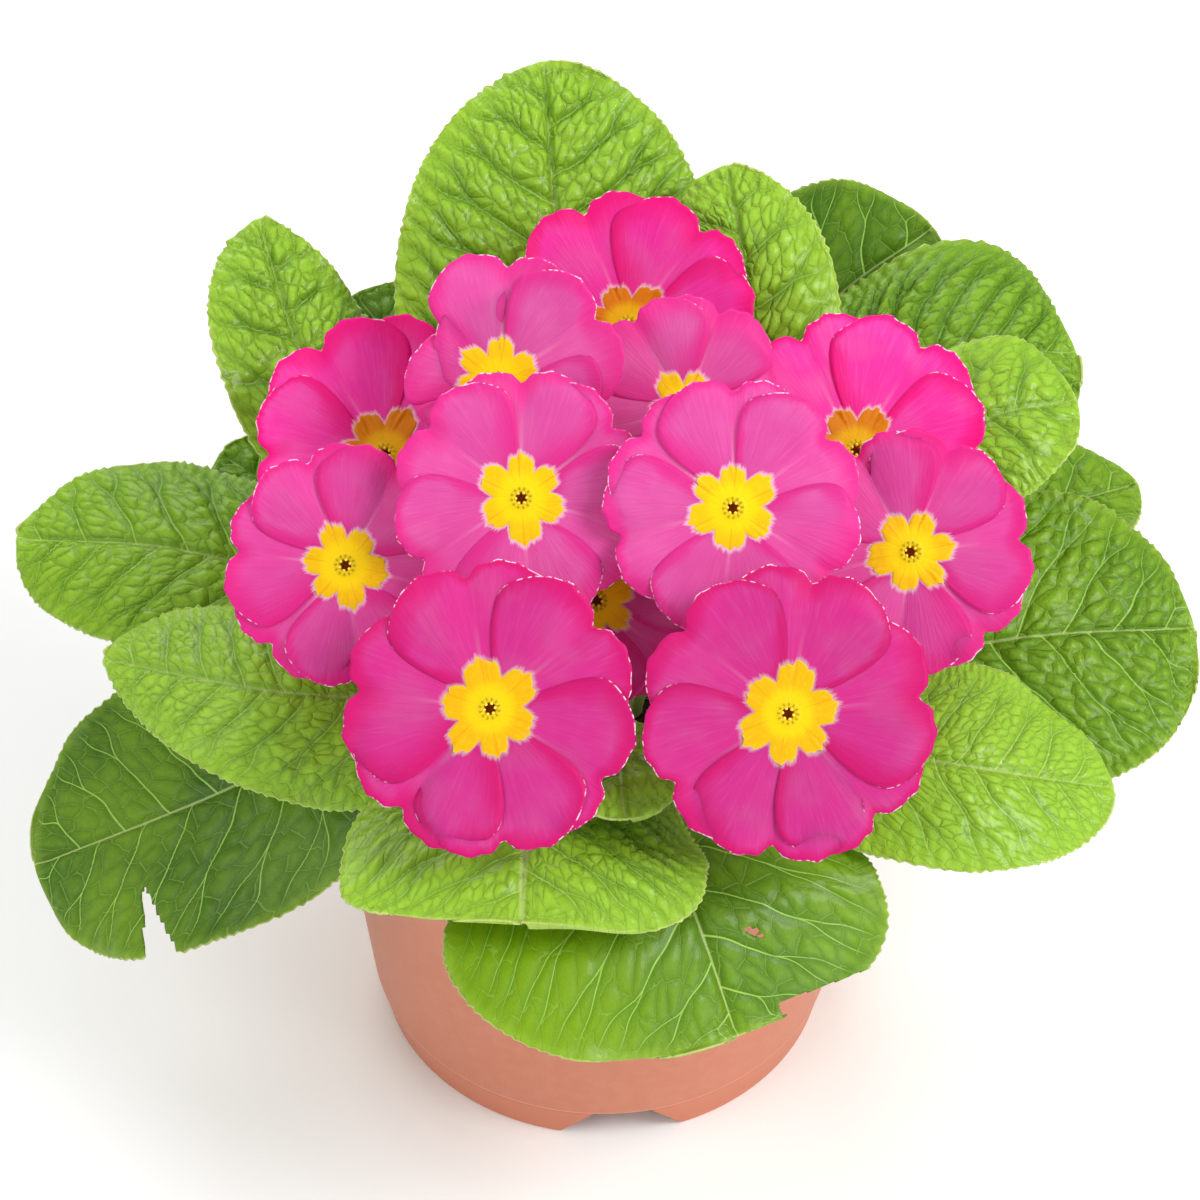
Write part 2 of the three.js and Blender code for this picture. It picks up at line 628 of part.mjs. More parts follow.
function petal(bloom, index) {
  const side = (k) => (bloom.laps[(k + BLOOM.petals) % BLOOM.petals] === "+" ? 1 : -1);
  const over = side(index);
  const under = side(index - 1);
  const turn = rad(petalTurn(bloom, index));
  const low = Math.max(0, -Math.sin(turn + rad(bloom.spin)));
  const trim = bloom.trim?.[index] ?? 0;
  const radius = bloom.radius * (1 - (bloom.tuck ?? 0) * low - trim);
  const rows = BLOOM.petalRows.map((p) =>
    BLOOM.petalColumns.map((c) => {
      const reach = radius * petalEdge(c) - BLOOM.petalFoot;
      const x = BLOOM.petalFoot + reach * p;
      const broad = bloom.radius * BLOOM.petalSpread - BLOOM.footHalfWidth;
      const round = p === 1 ? BLOOM.petalEndWidth : 1;
      const widen = Math.sin((Math.PI / 2) * Math.min(1, p * BLOOM.petalWiden));
      const y = c * (BLOOM.footHalfWidth + broad * widen * round);
      const z = petalLift(bloom, Math.hypot(x, y), c, p, over, under);
      const point = new THREE.Vector3(
        x * Math.cos(turn) - y * Math.sin(turn),
        x * Math.sin(turn) + y * Math.cos(turn),
        z,
      );
      return { point, up: new THREE.Vector3(0, 0, 1), thick: BLOOM.petalThickness };
    }),
  );
  return solid(blade(rows));
}

function makePetals(bloom) {
  const { ringInner, ringOuter, ringUnder, ringOver } = BLOOM;
  const ring = [
    [ringInner, ringUnder],
    [ringOuter, ringUnder],
    [ringOuter, ringOver],
    [ringInner, ringOver],
    [ringInner, ringUnder],
  ].map(([r, z]) => new THREE.Vector2(r, z));
  const lathe = new THREE.LatheGeometry(ring, BLOOM.petals);
  lathe.rotateX(Math.PI / 2);
  let body = solid(lathe);
  for (let i = 0; i < BLOOM.petals; i++) body = body.add(petal(bloom, i));
  return geometryFrom(body);
}

// The yellow star on the petals, in one piece with the tube that runs down into the calyx.
function makeEye(bloom) {
  const points = [];
  for (let i = 0; i < BLOOM.petals; i++) {
    const turn = petalTurn(bloom, i);
    const valley = (petalTurn(bloom, i - 1) + turn) / 2;
    const corners = [
      [valley, BLOOM.eyeValley],
      [turn - BLOOM.starTipTurn, BLOOM.eyeRadius],
      [turn + BLOOM.starTipTurn, BLOOM.eyeRadius],
    ];
    for (const [at, reach] of corners) {
      const { x, y } = polar(at, reach * bloom.radius, 0);
      points.push(new THREE.Vector2(x, y));
    }
  }
  const shape = new THREE.Shape(points);
  const star = new THREE.ExtrudeGeometry(shape, { depth: BLOOM.eyeThickness, bevelEnabled: false });
  const lift = BLOOM.eyeLift + BLOOM.eyeCupShare * bloom.cup * bloom.radius;
  star.translate(0, 0, lift);
  const top = lift + BLOOM.eyeThickness;
  const throat = disc(BLOOM.throatRadius, 6, top - BLOOM.throatDepth, top + 1, 0, 0);
  const tube = disc(BLOOM.tubeRadius, 6, -BLOOM.tubeLength, top - 0.2, 0, 0);
  return geometryFrom(solid(star).add(tube).subtract(throat));
}

// The ribbed, five-toothed calyx cup in the bloom's own frame.
function calyx() {
  const teeth = 5;
  const ring = (radius, z, rib, tooth) =>
    Array.from({ length: teeth * 2 }, (_, i) => {
      const peak = i % 2 === 0;
      return polar((180 * i) / teeth, radius + (peak ? rib : -rib), z + (peak ? tooth : 0));
    });
  const foot = -STALK.calyxTop - STALK.calyxLength;
  const rim = -STALK.calyxTop - STALK.toothHeight;
  const inside = STALK.calyxRadius - STALK.calyxWall;
  return solid(
    skin([
      ring(0.9, foot - 0.8, 0, 0),
      ring(STALK.calyxFoot, foot + 1.2, STALK.calyxRib, 0),
      ring(STALK.calyxRadius, rim, 0.2, STALK.toothHeight - 0.3),
      ring(inside, rim, 0.1, STALK.toothHeight - 0.3),
      ring(inside - 0.2, foot + 2.9, 0, 0),
    ]),
  );
}

function tube(curve, radius, sides, steps) {
  const frames = curve.computeFrenetFrames(steps, false);
  const rings = [];
  for (let i = 0; i <= steps; i++) {
    const middle = curve.getPointAt(i / steps);
    rings.push(
      Array.from({ length: sides }, (_, j) => {
        const turn = (2 * Math.PI * j) / sides;
        return middle
          .clone()
          .addScaledVector(frames.normals[i], radius * Math.cos(turn))
          .addScaledVector(frames.binormals[i], radius * Math.sin(turn));
      }),
    );
  }
  return solid(skin(rings));
}

// The stalk rises from its hole in the soil and turns into the back of the calyx.
function makeStalk(bloom, frame) {
  const behind = (distance) => new THREE.Vector3(0, 0, -distance).applyMatrix4(frame);
  const foot = polar(bloom.foot[0], bloom.foot[1], CROWN.stemFoot);
  const rise = foot.clone().setZ(CROWN.stemFoot + STALK.rise);
  const neck = STALK.calyxTop + STALK.calyxLength - 0.6;
  const curve = new THREE.CubicBezierCurve3(foot, rise, behind(neck + STALK.nod), behind(neck));
  const stem = tube(curve, STALK.radius, STALK.sides, STALK.steps);
  const cup = solid(geometryFrom(calyx()).applyMatrix4(frame));
  return geometryFrom(cup.add(stem)).applyMatrix4(frame.clone().invert());
}

function makeBloom(bloom, index) {
  const group = new THREE.Group();
  const frame = bloomFrame(bloom);
  const name = "bloom_" + named(index);
  group.add(meshOf(name + "_petals", makePetals(bloom), "petal"));
  group.add(meshOf(name + "_eye", makeEye(bloom), "eye"));
  group.add(meshOf(name + "_stalk", makeStalk(bloom, frame), "stalk"));
  group.applyMatrix4(frame);
  return group;
}

// ---------------------------------------------------------------- the whole plant
const primrose = new THREE.Group();
primrose.add(makePot());
primrose.add(makeSoil());
LEAVES.forEach((leaf, i) => primrose.add(makeLeaf(leaf, i)));
BLOOMS.forEach((bloom, i) => primrose.add(makeBloom(bloom, i)));

export default primrose;
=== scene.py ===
import math

import bpy
import numpy as np
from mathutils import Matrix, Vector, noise


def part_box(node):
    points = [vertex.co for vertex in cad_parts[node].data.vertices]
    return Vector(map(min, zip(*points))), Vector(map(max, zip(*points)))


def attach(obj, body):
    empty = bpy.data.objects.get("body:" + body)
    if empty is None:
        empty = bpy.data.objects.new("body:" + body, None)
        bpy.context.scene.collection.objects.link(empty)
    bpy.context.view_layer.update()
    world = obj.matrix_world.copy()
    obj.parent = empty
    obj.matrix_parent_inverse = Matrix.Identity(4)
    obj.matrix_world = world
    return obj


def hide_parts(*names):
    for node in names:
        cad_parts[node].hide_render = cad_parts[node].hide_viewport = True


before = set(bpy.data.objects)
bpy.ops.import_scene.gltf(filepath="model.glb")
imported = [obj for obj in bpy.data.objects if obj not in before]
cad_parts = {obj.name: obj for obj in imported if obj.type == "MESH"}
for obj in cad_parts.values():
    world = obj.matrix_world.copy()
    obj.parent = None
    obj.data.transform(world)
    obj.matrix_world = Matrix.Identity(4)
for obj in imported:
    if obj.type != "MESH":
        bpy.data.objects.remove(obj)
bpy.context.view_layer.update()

bl_info = {
    "name": "Potted primrose",
    "version": (1, 0, 0),
    "blender": (4, 5, 0),
    "location": "View3D > Sidebar > Primrose",
    "description": "Leaves, blooms, pot and soil of a potted primrose, in finer form than the solids",
    "category": "Add Mesh",
}

# Lengths are millimetres wherever a piece is worked out, and metres once it is a mesh.
MM = 0.001
BODY = "root"

# ------------------------------------------------------------------ driving dimensions
CROWN = {"stem_foot": 67.5, "collar": 76.0}
POT_BOX = [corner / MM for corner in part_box("pot")]
SOIL_BOX = [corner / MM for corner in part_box("soil")]

# Each leaf: foot is where its stem stands on the crown, as turn in degrees and ring radius. neck, mid
# and tip are where its blade begins, where its midrib is half way and where it ends. width is across
# the blade, roll turns it about the midrib, fold lifts its halves, curl bends its margins and wave
# ripples them. old is its age, from 0 young to 1 old, and also painted light and shade: it sets how
# dark each whole blade looks. cell is the size of the cells between its veins,
# relief how high they stand, pillow how much the broader swells between side veins add, gap how far
# apart the side veins are and rib how wide the midrib is. pale is how light the veins are and yellow
# how far the right half turns yellow. tears are corners of what is torn out, as share of
# the blade's length and distance from the midrib. right and left, as seen from the neck, say where a side
# differs: half is its width, broadest how far along it is widest, rise how fast it widens and blunt
# how square it ends.
LEAF_PLAIN = {"gap": 10.0, "rib": 0.75, "pillow": 0.9, "yellow": 0.0, "tears": ()}
LEAVES = [
    dict(foot=(95, 11), neck=(-1, 31.5, 99), mid=(-8, 55, 141.5), tip=(-11, 84, 163),
         width=57, roll=0, fold=0.12, curl=-0.1, wave=1.2, old=0.15, cell=3.0, relief=1.15, pale=0.3,
         right=dict(half=29.5, broadest=0.45, blunt=1.9),
         left=dict(half=33.5, broadest=0.3, rise=0.75, blunt=1.7)),
    dict(foot=(59, 11), neck=(16, 17, 107), mid=(26, 37, 141), tip=(23, 59, 158),
         width=34, roll=0, fold=0.1, curl=-0.2, wave=0.8, old=0.0, cell=2.6, relief=1.15, pale=0.3,
         pillow=0.5,
         right=dict(half=18.5, broadest=0.35, blunt=1.85),
         left=dict(half=16)),
    dict(foot=(62, 17.5), neck=(12, 35, 88), mid=(41, 64, 116), tip=(64, 76.5, 129),
         width=46, roll=24, fold=0.1, curl=-0.1, wave=0.8, old=1.0, cell=4.2, relief=0.3, pale=0.6,
         right=dict(half=18, rise=1.4),
         left=dict(half=22.5, rise=0.5)),
    dict(foot=(38, 17.5), neck=(25, 21, 94), mid=(64, 43, 122), tip=(90, 49, 121),
         width=54, roll=12, fold=0.1, curl=-0.2, wave=1.5, old=0.5, cell=2.6, relief=1.1,
         pale=0.15, gap=5.5,
         left=dict(half=27.5, broadest=0.38, rise=0.35, blunt=2.7)),
    dict(foot=(20, 11), neck=(30, 10, 96), mid=(66, 23, 124), tip=(88, 30, 126),
         width=36, roll=22, fold=0.1, curl=-0.2, wave=1.0, old=0.1, cell=2.6, relief=0.9,
         pale=0.15, pillow=0.5,
         right=dict(half=16.5, rise=0.6),
         left=dict(half=16, blunt=3.2)),
    dict(foot=(12, 17.5), neck=(38, 18, 85), mid=(79, 36, 89), tip=(104, 45, 91),
         width=32.5, roll=10, fold=0.1, curl=-0.1, wave=0.8, old=0.7, cell=3.2, relief=0.7,
         pale=0.5, pillow=0.5),
    dict(foot=(-12, 17.5), neck=(34, -3, 84), mid=(76, 0, 93), tip=(111.4, 7, 89),
         width=56, roll=30, fold=0.08, curl=-0.1, wave=1.5, old=0.7, cell=3.4, relief=1.1,
         pale=0.6, pillow=0.25,
         right=dict(half=29.5, blunt=2.2),
         left=dict(half=28, rise=1.3, blunt=2.2)),
    dict(foot=(-38, 11), neck=(22, -17, 89), mid=(62, -35, 97), tip=(93, -31, 86),
         width=44, roll=20, fold=0.06, curl=-0.15, wave=1.0, old=0.0, cell=2.2, relief=0.65,
         pale=0.5, pillow=0.3, gap=8,
         right=dict(half=19.8, broadest=0.45, rise=0.3),
         left=dict(half=21, rise=1.1)),
    dict(foot=(150, 11), neck=(-23, 14, 90), mid=(-53, 36, 123.5), tip=(-65, 63, 142),
         width=38, roll=0, fold=0.12, curl=-0.25, wave=2.0, old=0.1, cell=2.8, relief=1.1,
         pale=0.15, pillow=0.7,
         right=dict(half=23.5, broadest=0.22, rise=0.7, blunt=1.6),
         left=dict(half=17, rise=0.45, blunt=1.8)),
    dict(foot=(120, 17.5), neck=(-16, 25, 89), mid=(-31, 51, 105), tip=(-48, 72, 116),
         width=40, roll=0, fold=0.1, curl=-0.1, wave=0.8, old=0.8, cell=3.4, relief=0.8, pale=0.4),
    dict(foot=(180, 17.5), neck=(-31, 6, 89), mid=(-76, 15, 101), tip=(-111, 23, 97),
         width=52, roll=-10, fold=0.08, curl=-0.2, wave=1.5, old=0.4, cell=3.0, relief=0.8,
         pale=0.35, pillow=0.5,
         right=dict(half=22.5),
         left=dict(half=22.5, rise=0.9, blunt=1.85)),
    dict(foot=(157, 17.5), neck=(-29, 17, 84), mid=(-54, 35, 90), tip=(-74, 48, 96),
         width=30, roll=0, fold=0.1, curl=-0.1, wave=0.8, old=0.8, cell=3.2, relief=0.8, pale=0.4),
    dict(foot=(205, 11), neck=(-24, -15, 91), mid=(-58, -27, 107), tip=(-91, -13, 101),
         width=40, roll=-28, fold=-0.1, curl=-0.25, wave=1.0, old=0.0, cell=2.4, relief=0.8,
         pale=0.4, pillow=0.5, gap=8,
         right=dict(half=20, blunt=2.2),
         left=dict(half=20, broadest=0.35, rise=0.35, blunt=1.6)),
    dict(foot=(220, 17.5), neck=(-37, -13, 89), mid=(-71, -22, 75), tip=(-108, -19, 51),
         width=56, roll=-22, fold=0.04, curl=-0.08, wave=1.5, old=1.0, cell=4.6, relief=0.3,
         pale=0.9, pillow=0.6, gap=11,
         right=dict(half=31, rise=0.6),
         left=dict(half=27.5, rise=0.2, blunt=2.3),
         tears=(((0.57, -40), (0.7, -9), (0.74, -40)),)),
    dict(foot=(242, 11), neck=(-7, -26, 91), mid=(-13, -55, 99), tip=(-14, -72, 96),
         width=64, roll=0, fold=0.06, curl=-0.1, wave=1.5, old=0.1, cell=2.6, relief=0.75,
         pale=0.4, rib=2.6, pillow=0.5, gap=8,
         right=dict(half=32, rise=0.55, blunt=5.5),
         left=dict(half=32, rise=0.55, blunt=4.5)),
    dict(foot=(-60, 17.5), neck=(7, -34, 88), mid=(16, -59.5, 86), tip=(24, -76, 70),
         width=82, roll=0, fold=0.04, curl=-0.08, wave=1.5, old=0.85, cell=4.6, relief=0.25, pale=0.65,
         right=dict(half=45, broadest=0.42, rise=0.6, blunt=2.0),
         left=dict(half=34.5, broadest=0.6, rise=0.6, blunt=4.5),
         yellow=0.8, pillow=0.5,
         tears=(((0.97, -45), (0.94, -9), (1.15, -9)), ((0.65, -6), (0.66, -9.5), (0.75, -11.5)))),
    dict(foot=(-80, 11), neck=(2, -25, 98), mid=(3, -46, 108), tip=(4, -57, 106),
         width=24, roll=0, fold=0.1, curl=-0.1, wave=0.8, old=0.0, cell=2.6, relief=0.8, pale=0.2,
         pillow=0.5),
]

# Each bloom: at is the middle of its face, face the way it looks as turn and rise in degrees, spin how
# far it is turned and drift how many degrees each petal stands off its sixth. foot is where its stalk
# stands. radius is its petals' reach, cup how far they bend up, tuck how much shorter the lowest are
# and trim how much shorter each is beside another bloom. laps tells for each pair of neighbours which
# lies on top. blush is how deep its red is, shade how light its petals are, with 1 the lightest, and
# brown how brown its star is. shade darkens the petals' colour: partly their own deeper colour and
# partly painted shade and light, set for how much light reaches each bloom.
PETALS = 6
BLOOM_PLAIN = {"drift": (0,) * PETALS, "trim": (0,) * PETALS, "shade": 1.0}
BLOOMS = [
    dict(at=(4.7, 30.8, 143), face=(-90, 60), spin=-8, foot=(90, 6.5),
         radius=23.5, cup=0.24, tuck=0.3, trim=(0, 0, 0, 0.2, 0, 0), laps="+++-+-", blush=1.0, shade=0.85,
         brown=1.0),
    dict(at=(-18.3, 4.1, 153), face=(-96, 48), spin=-34, drift=(1, 11, 4, -4, -11, -1), foot=(125, 6.5),
         radius=22.3, cup=0.1, tuck=0.3, trim=(0.07, 0, 0, 0.34, 0.45, 0.2), laps="+++--+", blush=0.1,
         brown=0.0),
    dict(at=(14.9, 5.3, 145.6), face=(-84, 46), spin=8, drift=(-4, -1, -11, 3, 11, 2), foot=(55, 3),
         radius=19.6, cup=0.1, tuck=0.2, trim=(0.15, 0, 0, 0, 0, 0.1), laps="--+-+-", blush=0.1,
         brown=0.0),
    dict(at=(-39.2, 8.4, 131.9), face=(-100, 58), spin=10, foot=(168, 6.5),
         radius=24, cup=0.22, tuck=0.3, trim=(0.16, 0, 0, 0, 0, 0.2), laps="---+-+", blush=0.9,
         brown=0.9),
    dict(at=(45.9, 8.9, 132.3), face=(-80, 58), spin=-10, foot=(12, 6.5),
         radius=24, cup=0.22, tuck=0.3, laps="+++-+-", blush=0.9, brown=0.9),
    dict(at=(-45.2, -19.3, 130.8), face=(-94, 45), spin=-8, drift=(-3, 11, 1, 4, -2, -11), foot=(203, 6.5),
         radius=20.8, cup=0.08, tuck=0.0, laps="-+++-+", blush=0.35, shade=0.92,
         brown=0.15),
    dict(at=(-14.1, -16.1, 144), face=(-90, 45), spin=34, drift=(4, -4, -11, -1, 1, 11), foot=(200, 2.6),
         radius=22, cup=0.06, tuck=0.0, laps="----++", blush=0.15, brown=0.0),
    dict(at=(22.6, -20.2, 145.5), face=(-90, 45), spin=-34, drift=(1, 11, 4, -4, -11, -1), foot=(-35, 3),
         radius=22, cup=0.06, tuck=0.0, laps="+++--+", blush=0.15, brown=0.0),
    dict(at=(54.2, -17.7, 132.5), face=(-86, 45), spin=8, drift=(-4, -1, -11, 3, 11, 2), foot=(-25, 6.5),
         radius=21, cup=0.08, tuck=0.0, laps="--+-+-", blush=0.35, shade=0.86,
         brown=0.15),
    dict(at=(-1, -21.6, 124.3), face=(-90, 45), spin=22, foot=(-90, 2.8),
         radius=18.5, cup=0.06, tuck=0.0, laps="+-+-+-", blush=0.2, brown=0.1),
    dict(at=(-19.3, -48.8, 125.2), face=(-92, 44), spin=-18, drift=(-12, -2, 0, 12, 8, -4), foot=(235, 6.5),
         radius=24.9, cup=0.05, tuck=0.0, laps="++++++", blush=0.8, shade=0.66,
         brown=0.3),
    dict(at=(31.8, -50.1, 125.3), face=(-88, 44), spin=18, drift=(-12, 0, 2, 12, 4, -8), foot=(-55, 6.5),
         radius=24.9, cup=0.05, tuck=0.0, laps="------", blush=0.8, shade=0.62,
         brown=0.3),
]


# ------------------------------------------------------------------ settings a user may change
class LeafSettings(bpy.types.PropertyGroup):
    grain: bpy.props.FloatProperty(
        name="Grain", description="Distance between points of the blade", default=0.73 * MM,
        min=0.3 * MM, max=3 * MM, unit="LENGTH")
    thickness: bpy.props.FloatProperty(
        name="Thickness", description="Thickness of the blade", default=0.45 * MM, unit="LENGTH")
    stem: bpy.props.FloatProperty(
        name="Stem", description="Thickness of the stem", default=2.6 * MM, unit="LENGTH")
    young: bpy.props.FloatVectorProperty(
        name="Young leaf", description="Colour of a young blade", subtype="COLOR", size=3,
        default=(0.265, 0.49, 0.023))
    old: bpy.props.FloatVectorProperty(
        name="Old leaf", description="Colour of an old blade", subtype="COLOR", size=3,
        default=(0.037, 0.118, 0.002))


class BloomSettings(bpy.types.PropertyGroup):
    thickness: bpy.props.FloatProperty(
        name="Petal thickness", description="Thickness of a petal", default=0.24 * MM, unit="LENGTH")
    lap: bpy.props.FloatProperty(
        name="Lap", description="How far a petal's side lifts over its neighbour", default=0.32 * MM,
        unit="LENGTH")
    petal: bpy.props.FloatVectorProperty(
        name="Petal", description="Colour of the petals", subtype="COLOR", size=3,
        default=(0.65, 0.075, 0.315))
    rim: bpy.props.FloatVectorProperty(
        name="Petal rim", description="Colour at the petals' rims", subtype="COLOR", size=3,
        default=(0.70, 0.004, 0.22))
    eye: bpy.props.FloatVectorProperty(
        name="Eye", description="Colour of the star", subtype="COLOR", size=3,
        default=(0.86, 0.51, 0.001))


class PotSettings(bpy.types.PropertyGroup):
    steps: bpy.props.IntProperty(
        name="Steps", description="Faces around the pot", default=144, min=32, max=256)
    colour: bpy.props.FloatVectorProperty(
        name="Plastic", description="Colour of the pot", subtype="COLOR", size=3,
        default=(0.56, 0.18, 0.098))


# ------------------------------------------------------------------ mesh helpers
def added(operator, **settings):
    """The object that an add operator makes, alone in the selection."""
    bpy.ops.object.select_all(action="DESELECT")
    operator(**settings)
    return bpy.context.object


def only(piece):
    """Selects one object and makes it active."""
    bpy.ops.object.select_all(action="DESELECT")
    piece.select_set(True)
    bpy.context.view_layer.objects.active = piece


def read_rows(items, key):
    """Three numbers of every item of a mesh, as rows."""
    rows = np.empty(len(items) * 3, np.float32)
    items.foreach_get(key, rows)
    return rows.reshape(-1, 3)


def read_points(piece):
    """A mesh's points in millimetres."""
    return read_rows(piece.data.vertices, "co") / MM


def write_points(piece, points):
    """Moves a mesh's points to places in millimetres."""
    piece.data.vertices.foreach_set("co", np.asarray(points, np.float32).ravel() * MM)
    piece.data.update()


def grid(name, points):
    """A grid whose points stand where the array [row, column, xyz] says."""
    rows, columns = points.shape[:2]
    piece = added(bpy.ops.mesh.primitive_grid_add, x_subdivisions=columns - 1, y_subdivisions=rows - 1,
                  size=1)
    piece.name = name
    piece.data.name = name
    write_points(piece, points)
    return piece


def attribute(piece, name, values):
    """Stores three numbers a point under a name that materials and modifiers can read."""
    made = piece.data.attributes.new(name, "FLOAT_VECTOR", "POINT")
    made.data.foreach_set("vector", np.asarray(values, np.float32).ravel())


def attribute_all(piece, name, *values):
    """Stores the same three numbers at every point of a piece."""
    attribute(piece, name, np.tile(values, (len(piece.data.vertices), 1)))


def modify(piece, kind, **settings):
    """Adds a modifier and applies it."""
    modifier = piece.modifiers.new(kind.title(), kind)
    for key, value in settings.items():
        setattr(modifier, key, value)
    only(piece)
    bpy.ops.object.modifier_apply(modifier=modifier.name)


def edit(piece, *steps):
    """Runs edit-mode operators on the whole of a mesh."""
    only(piece)
    bpy.ops.object.mode_set(mode="EDIT")
    for operator, settings in steps:
        bpy.ops.mesh.select_all(action="SELECT")
        operator(**settings)
    bpy.ops.object.mode_set(mode="OBJECT")


def close(piece, gap=0.002 * MM):
    """Merges a wrapped mesh's seam and poles and turns its faces outward."""
    edit(
        piece,
        (bpy.ops.mesh.remove_doubles, {"threshold": gap}),
        (bpy.ops.mesh.dissolve_degenerate, {"threshold": gap}),
        (bpy.ops.mesh.delete_loose, {}),
        (bpy.ops.mesh.normals_make_consistent, {"inside": False}),
    )


def join(name, pieces):
    """Joins pieces into the first one."""
    bpy.ops.object.select_all(action="DESELECT")
    for piece in pieces:
        piece.select_set(True)
    bpy.context.view_layer.objects.active = pieces[0]
    if len(pieces) > 1:
        bpy.ops.object.join()
    pieces[0].name = name
    pieces[0].data.name = name
    return pieces[0]


def hand_over(piece, node, material, angle=180):
    """Smooths and paints a finished piece and puts it in the place of a CAD node."""
    only(piece)
    bpy.ops.object.shade_smooth_by_angle(angle=math.radians(angle))
    piece.data.materials.clear()
    piece.data.materials.append(material)
    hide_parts(node)
    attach(piece, BODY)


def smooth(value, low, high):
    """0 below low, 1 above high and a smooth step between."""
    share = np.clip((value - low) / (high - low), 0, 1)
    return share * share * (3 - 2 * share)


def unit(vectors):
    """Vectors made one long."""
    return vectors / np.linalg.norm(vectors, axis=-1, keepdims=True)


def polar(turn, radius, z):
    """A point at a turn in degrees round the Z axis."""
    return np.array([radius * math.cos(math.radians(turn)), radius * math.sin(math.radians(turn)), z])


def turned(vectors, axes, angles):
    """Vectors turned about axes by angles in radians, row by row."""
    cos = np.cos(angles)[:, None]
    sin = np.sin(angles)[:, None]
    along = (vectors * axes).sum(-1, keepdims=True) * axes
    return vectors * cos + np.cross(axes, vectors) * sin + along * (1 - cos)


def nearest_on(line, points):
    """For each flat point: its distance to a flat polyline's points, and which one is nearest."""
    distance = np.empty(len(points))
    index = np.empty(len(points), int)
    chunk = 2000
    for start in range(0, len(points), chunk):
        part = points[start:start + chunk]
        gap = ((part[:, None, :] - line[None, :, :]) ** 2).sum(-1)
        index[start:start + chunk] = gap.argmin(1)
        distance[start:start + chunk] = np.sqrt(gap.min(1))
    return distance, index


def lengths_along(points):
    """Each point's distance from the first, along the line."""
    steps = np.linalg.norm(np.diff(points, axis=0), axis=1)
    return np.concatenate([[0], np.cumsum(steps)])


# ------------------------------------------------------------------ node helpers
class Wire:
    """A number in a node tree, which reckons with other wires and plain numbers."""

    def __init__(self, socket):
        self.socket = socket
        self.tree = socket.id_data

    def math(self, operation, *others):
        made = self.tree.nodes.new("ShaderNodeMath")
        made.operation = operation
        for slot, value in zip(made.inputs, (self, *others)):
            feed(slot, value)
        return Wire(made.outputs[0])

    def __add__(self, other):
        return self.math("ADD", other)

    def __radd__(self, other):
        return self.math("ADD", other)

    def __sub__(self, other):
        return self.math("SUBTRACT", other)

    def __rsub__(self, other):
        return self.math("MULTIPLY_ADD", -1, other)

    def __mul__(self, other):
        return self.math("MULTIPLY", other)

    def __rmul__(self, other):
        return self.math("MULTIPLY", other)

    def __truediv__(self, other):
        return self.math("DIVIDE", other)

    def __abs__(self):
        return self.math("ABSOLUTE")

    def sine(self):
        return self.math("SINE")

    def fraction(self):
        return self.math("FRACT")

    def least(self, other):
        return self.math("MINIMUM", other)

    def most(self, other):
        return self.math("MAXIMUM", other)

    def ramp(self, low, high):
        """0 below low, 1 above high and a smooth step between."""
        made = self.tree.nodes.new("ShaderNodeMapRange")
        made.interpolation_type = "SMOOTHSTEP"
        feed(made.inputs["Value"], self)
        feed(made.inputs["From Min"], low)
        feed(made.inputs["From Max"], high)
        return Wire(made.outputs["Result"])

    def fade(self, low, high):
        """1 below low and 0 above high."""
        return 1 - self.ramp(low, high)


def feed(slot, value):
    """Sets a socket to a wire or a plain value."""
    if isinstance(value, Wire):
        slot.id_data.links.new(value.socket, slot)
    elif isinstance(value, bpy.types.NodeSocket):
        slot.id_data.links.new(value, slot)
    else:
        slot.default_value = value


def split(tree, vector):
    """A vector's three numbers."""
    made = tree.nodes.new("ShaderNodeSeparateXYZ")
    feed(made.inputs[0], vector)
    return [Wire(out) for out in made.outputs]


def combine(tree, x, y, z=0.0):
    """A vector made of three numbers."""
    made = tree.nodes.new("ShaderNodeCombineXYZ")
    for slot, value in zip(made.inputs, (x, y, z)):
        feed(slot, value)
    return made.outputs[0]


def cells(tree, vector, scale=1.0, feature="DISTANCE_TO_EDGE", dimensions="2D", output="Distance"):
    """A Voronoi texture's value: by default the distance to the nearest edge of a cell."""
    made = tree.nodes.new("ShaderNodeTexVoronoi")
    made.voronoi_dimensions = dimensions
    made.feature = feature
    feed(made.inputs["Vector"], vector)
    feed(made.inputs["Scale"], scale)
    return Wire(made.outputs[output])


def cloud(tree, vector, scale, detail=2.0, roughness=0.5, distortion=0.0, dimensions="3D"):
    """A noise texture's value, from 0 to 1."""
    made = tree.nodes.new("ShaderNodeTexNoise")
    made.noise_dimensions = dimensions
    feed(made.inputs["Vector"], vector)
    feed(made.inputs["Scale"], scale)
    feed(made.inputs["Detail"], detail)
    feed(made.inputs["Roughness"], roughness)
    feed(made.inputs["Distortion"], distortion)
    return Wire(made.outputs[0])


def mix(tree, share, first, second):
    """A colour between two others."""
    made = tree.nodes.new("ShaderNodeMix")
    made.data_type = "RGBA"
    feed(made.inputs[0], share)
    for slot, value in zip((made.inputs[6], made.inputs[7]), (first, second)):
        feed(slot, value if not isinstance(value, tuple) else (*value[:3], 1.0))
    return made.outputs[2]


def layers(tree, base, *coats):
    """Lays colours over a base one by one, each by its own share."""
    for share, colour in coats:
        base = mix(tree, share, base, colour)
    return base


def srgb(red, green, blue):
    """A screen colour from 0 to 255 as the linear colour that nodes use."""
    shares = [value / 255 for value in (red, green, blue)]
    return tuple(s / 12.92 if s <= 0.04045 else ((s + 0.055) / 1.055) ** 2.4 for s in shares)


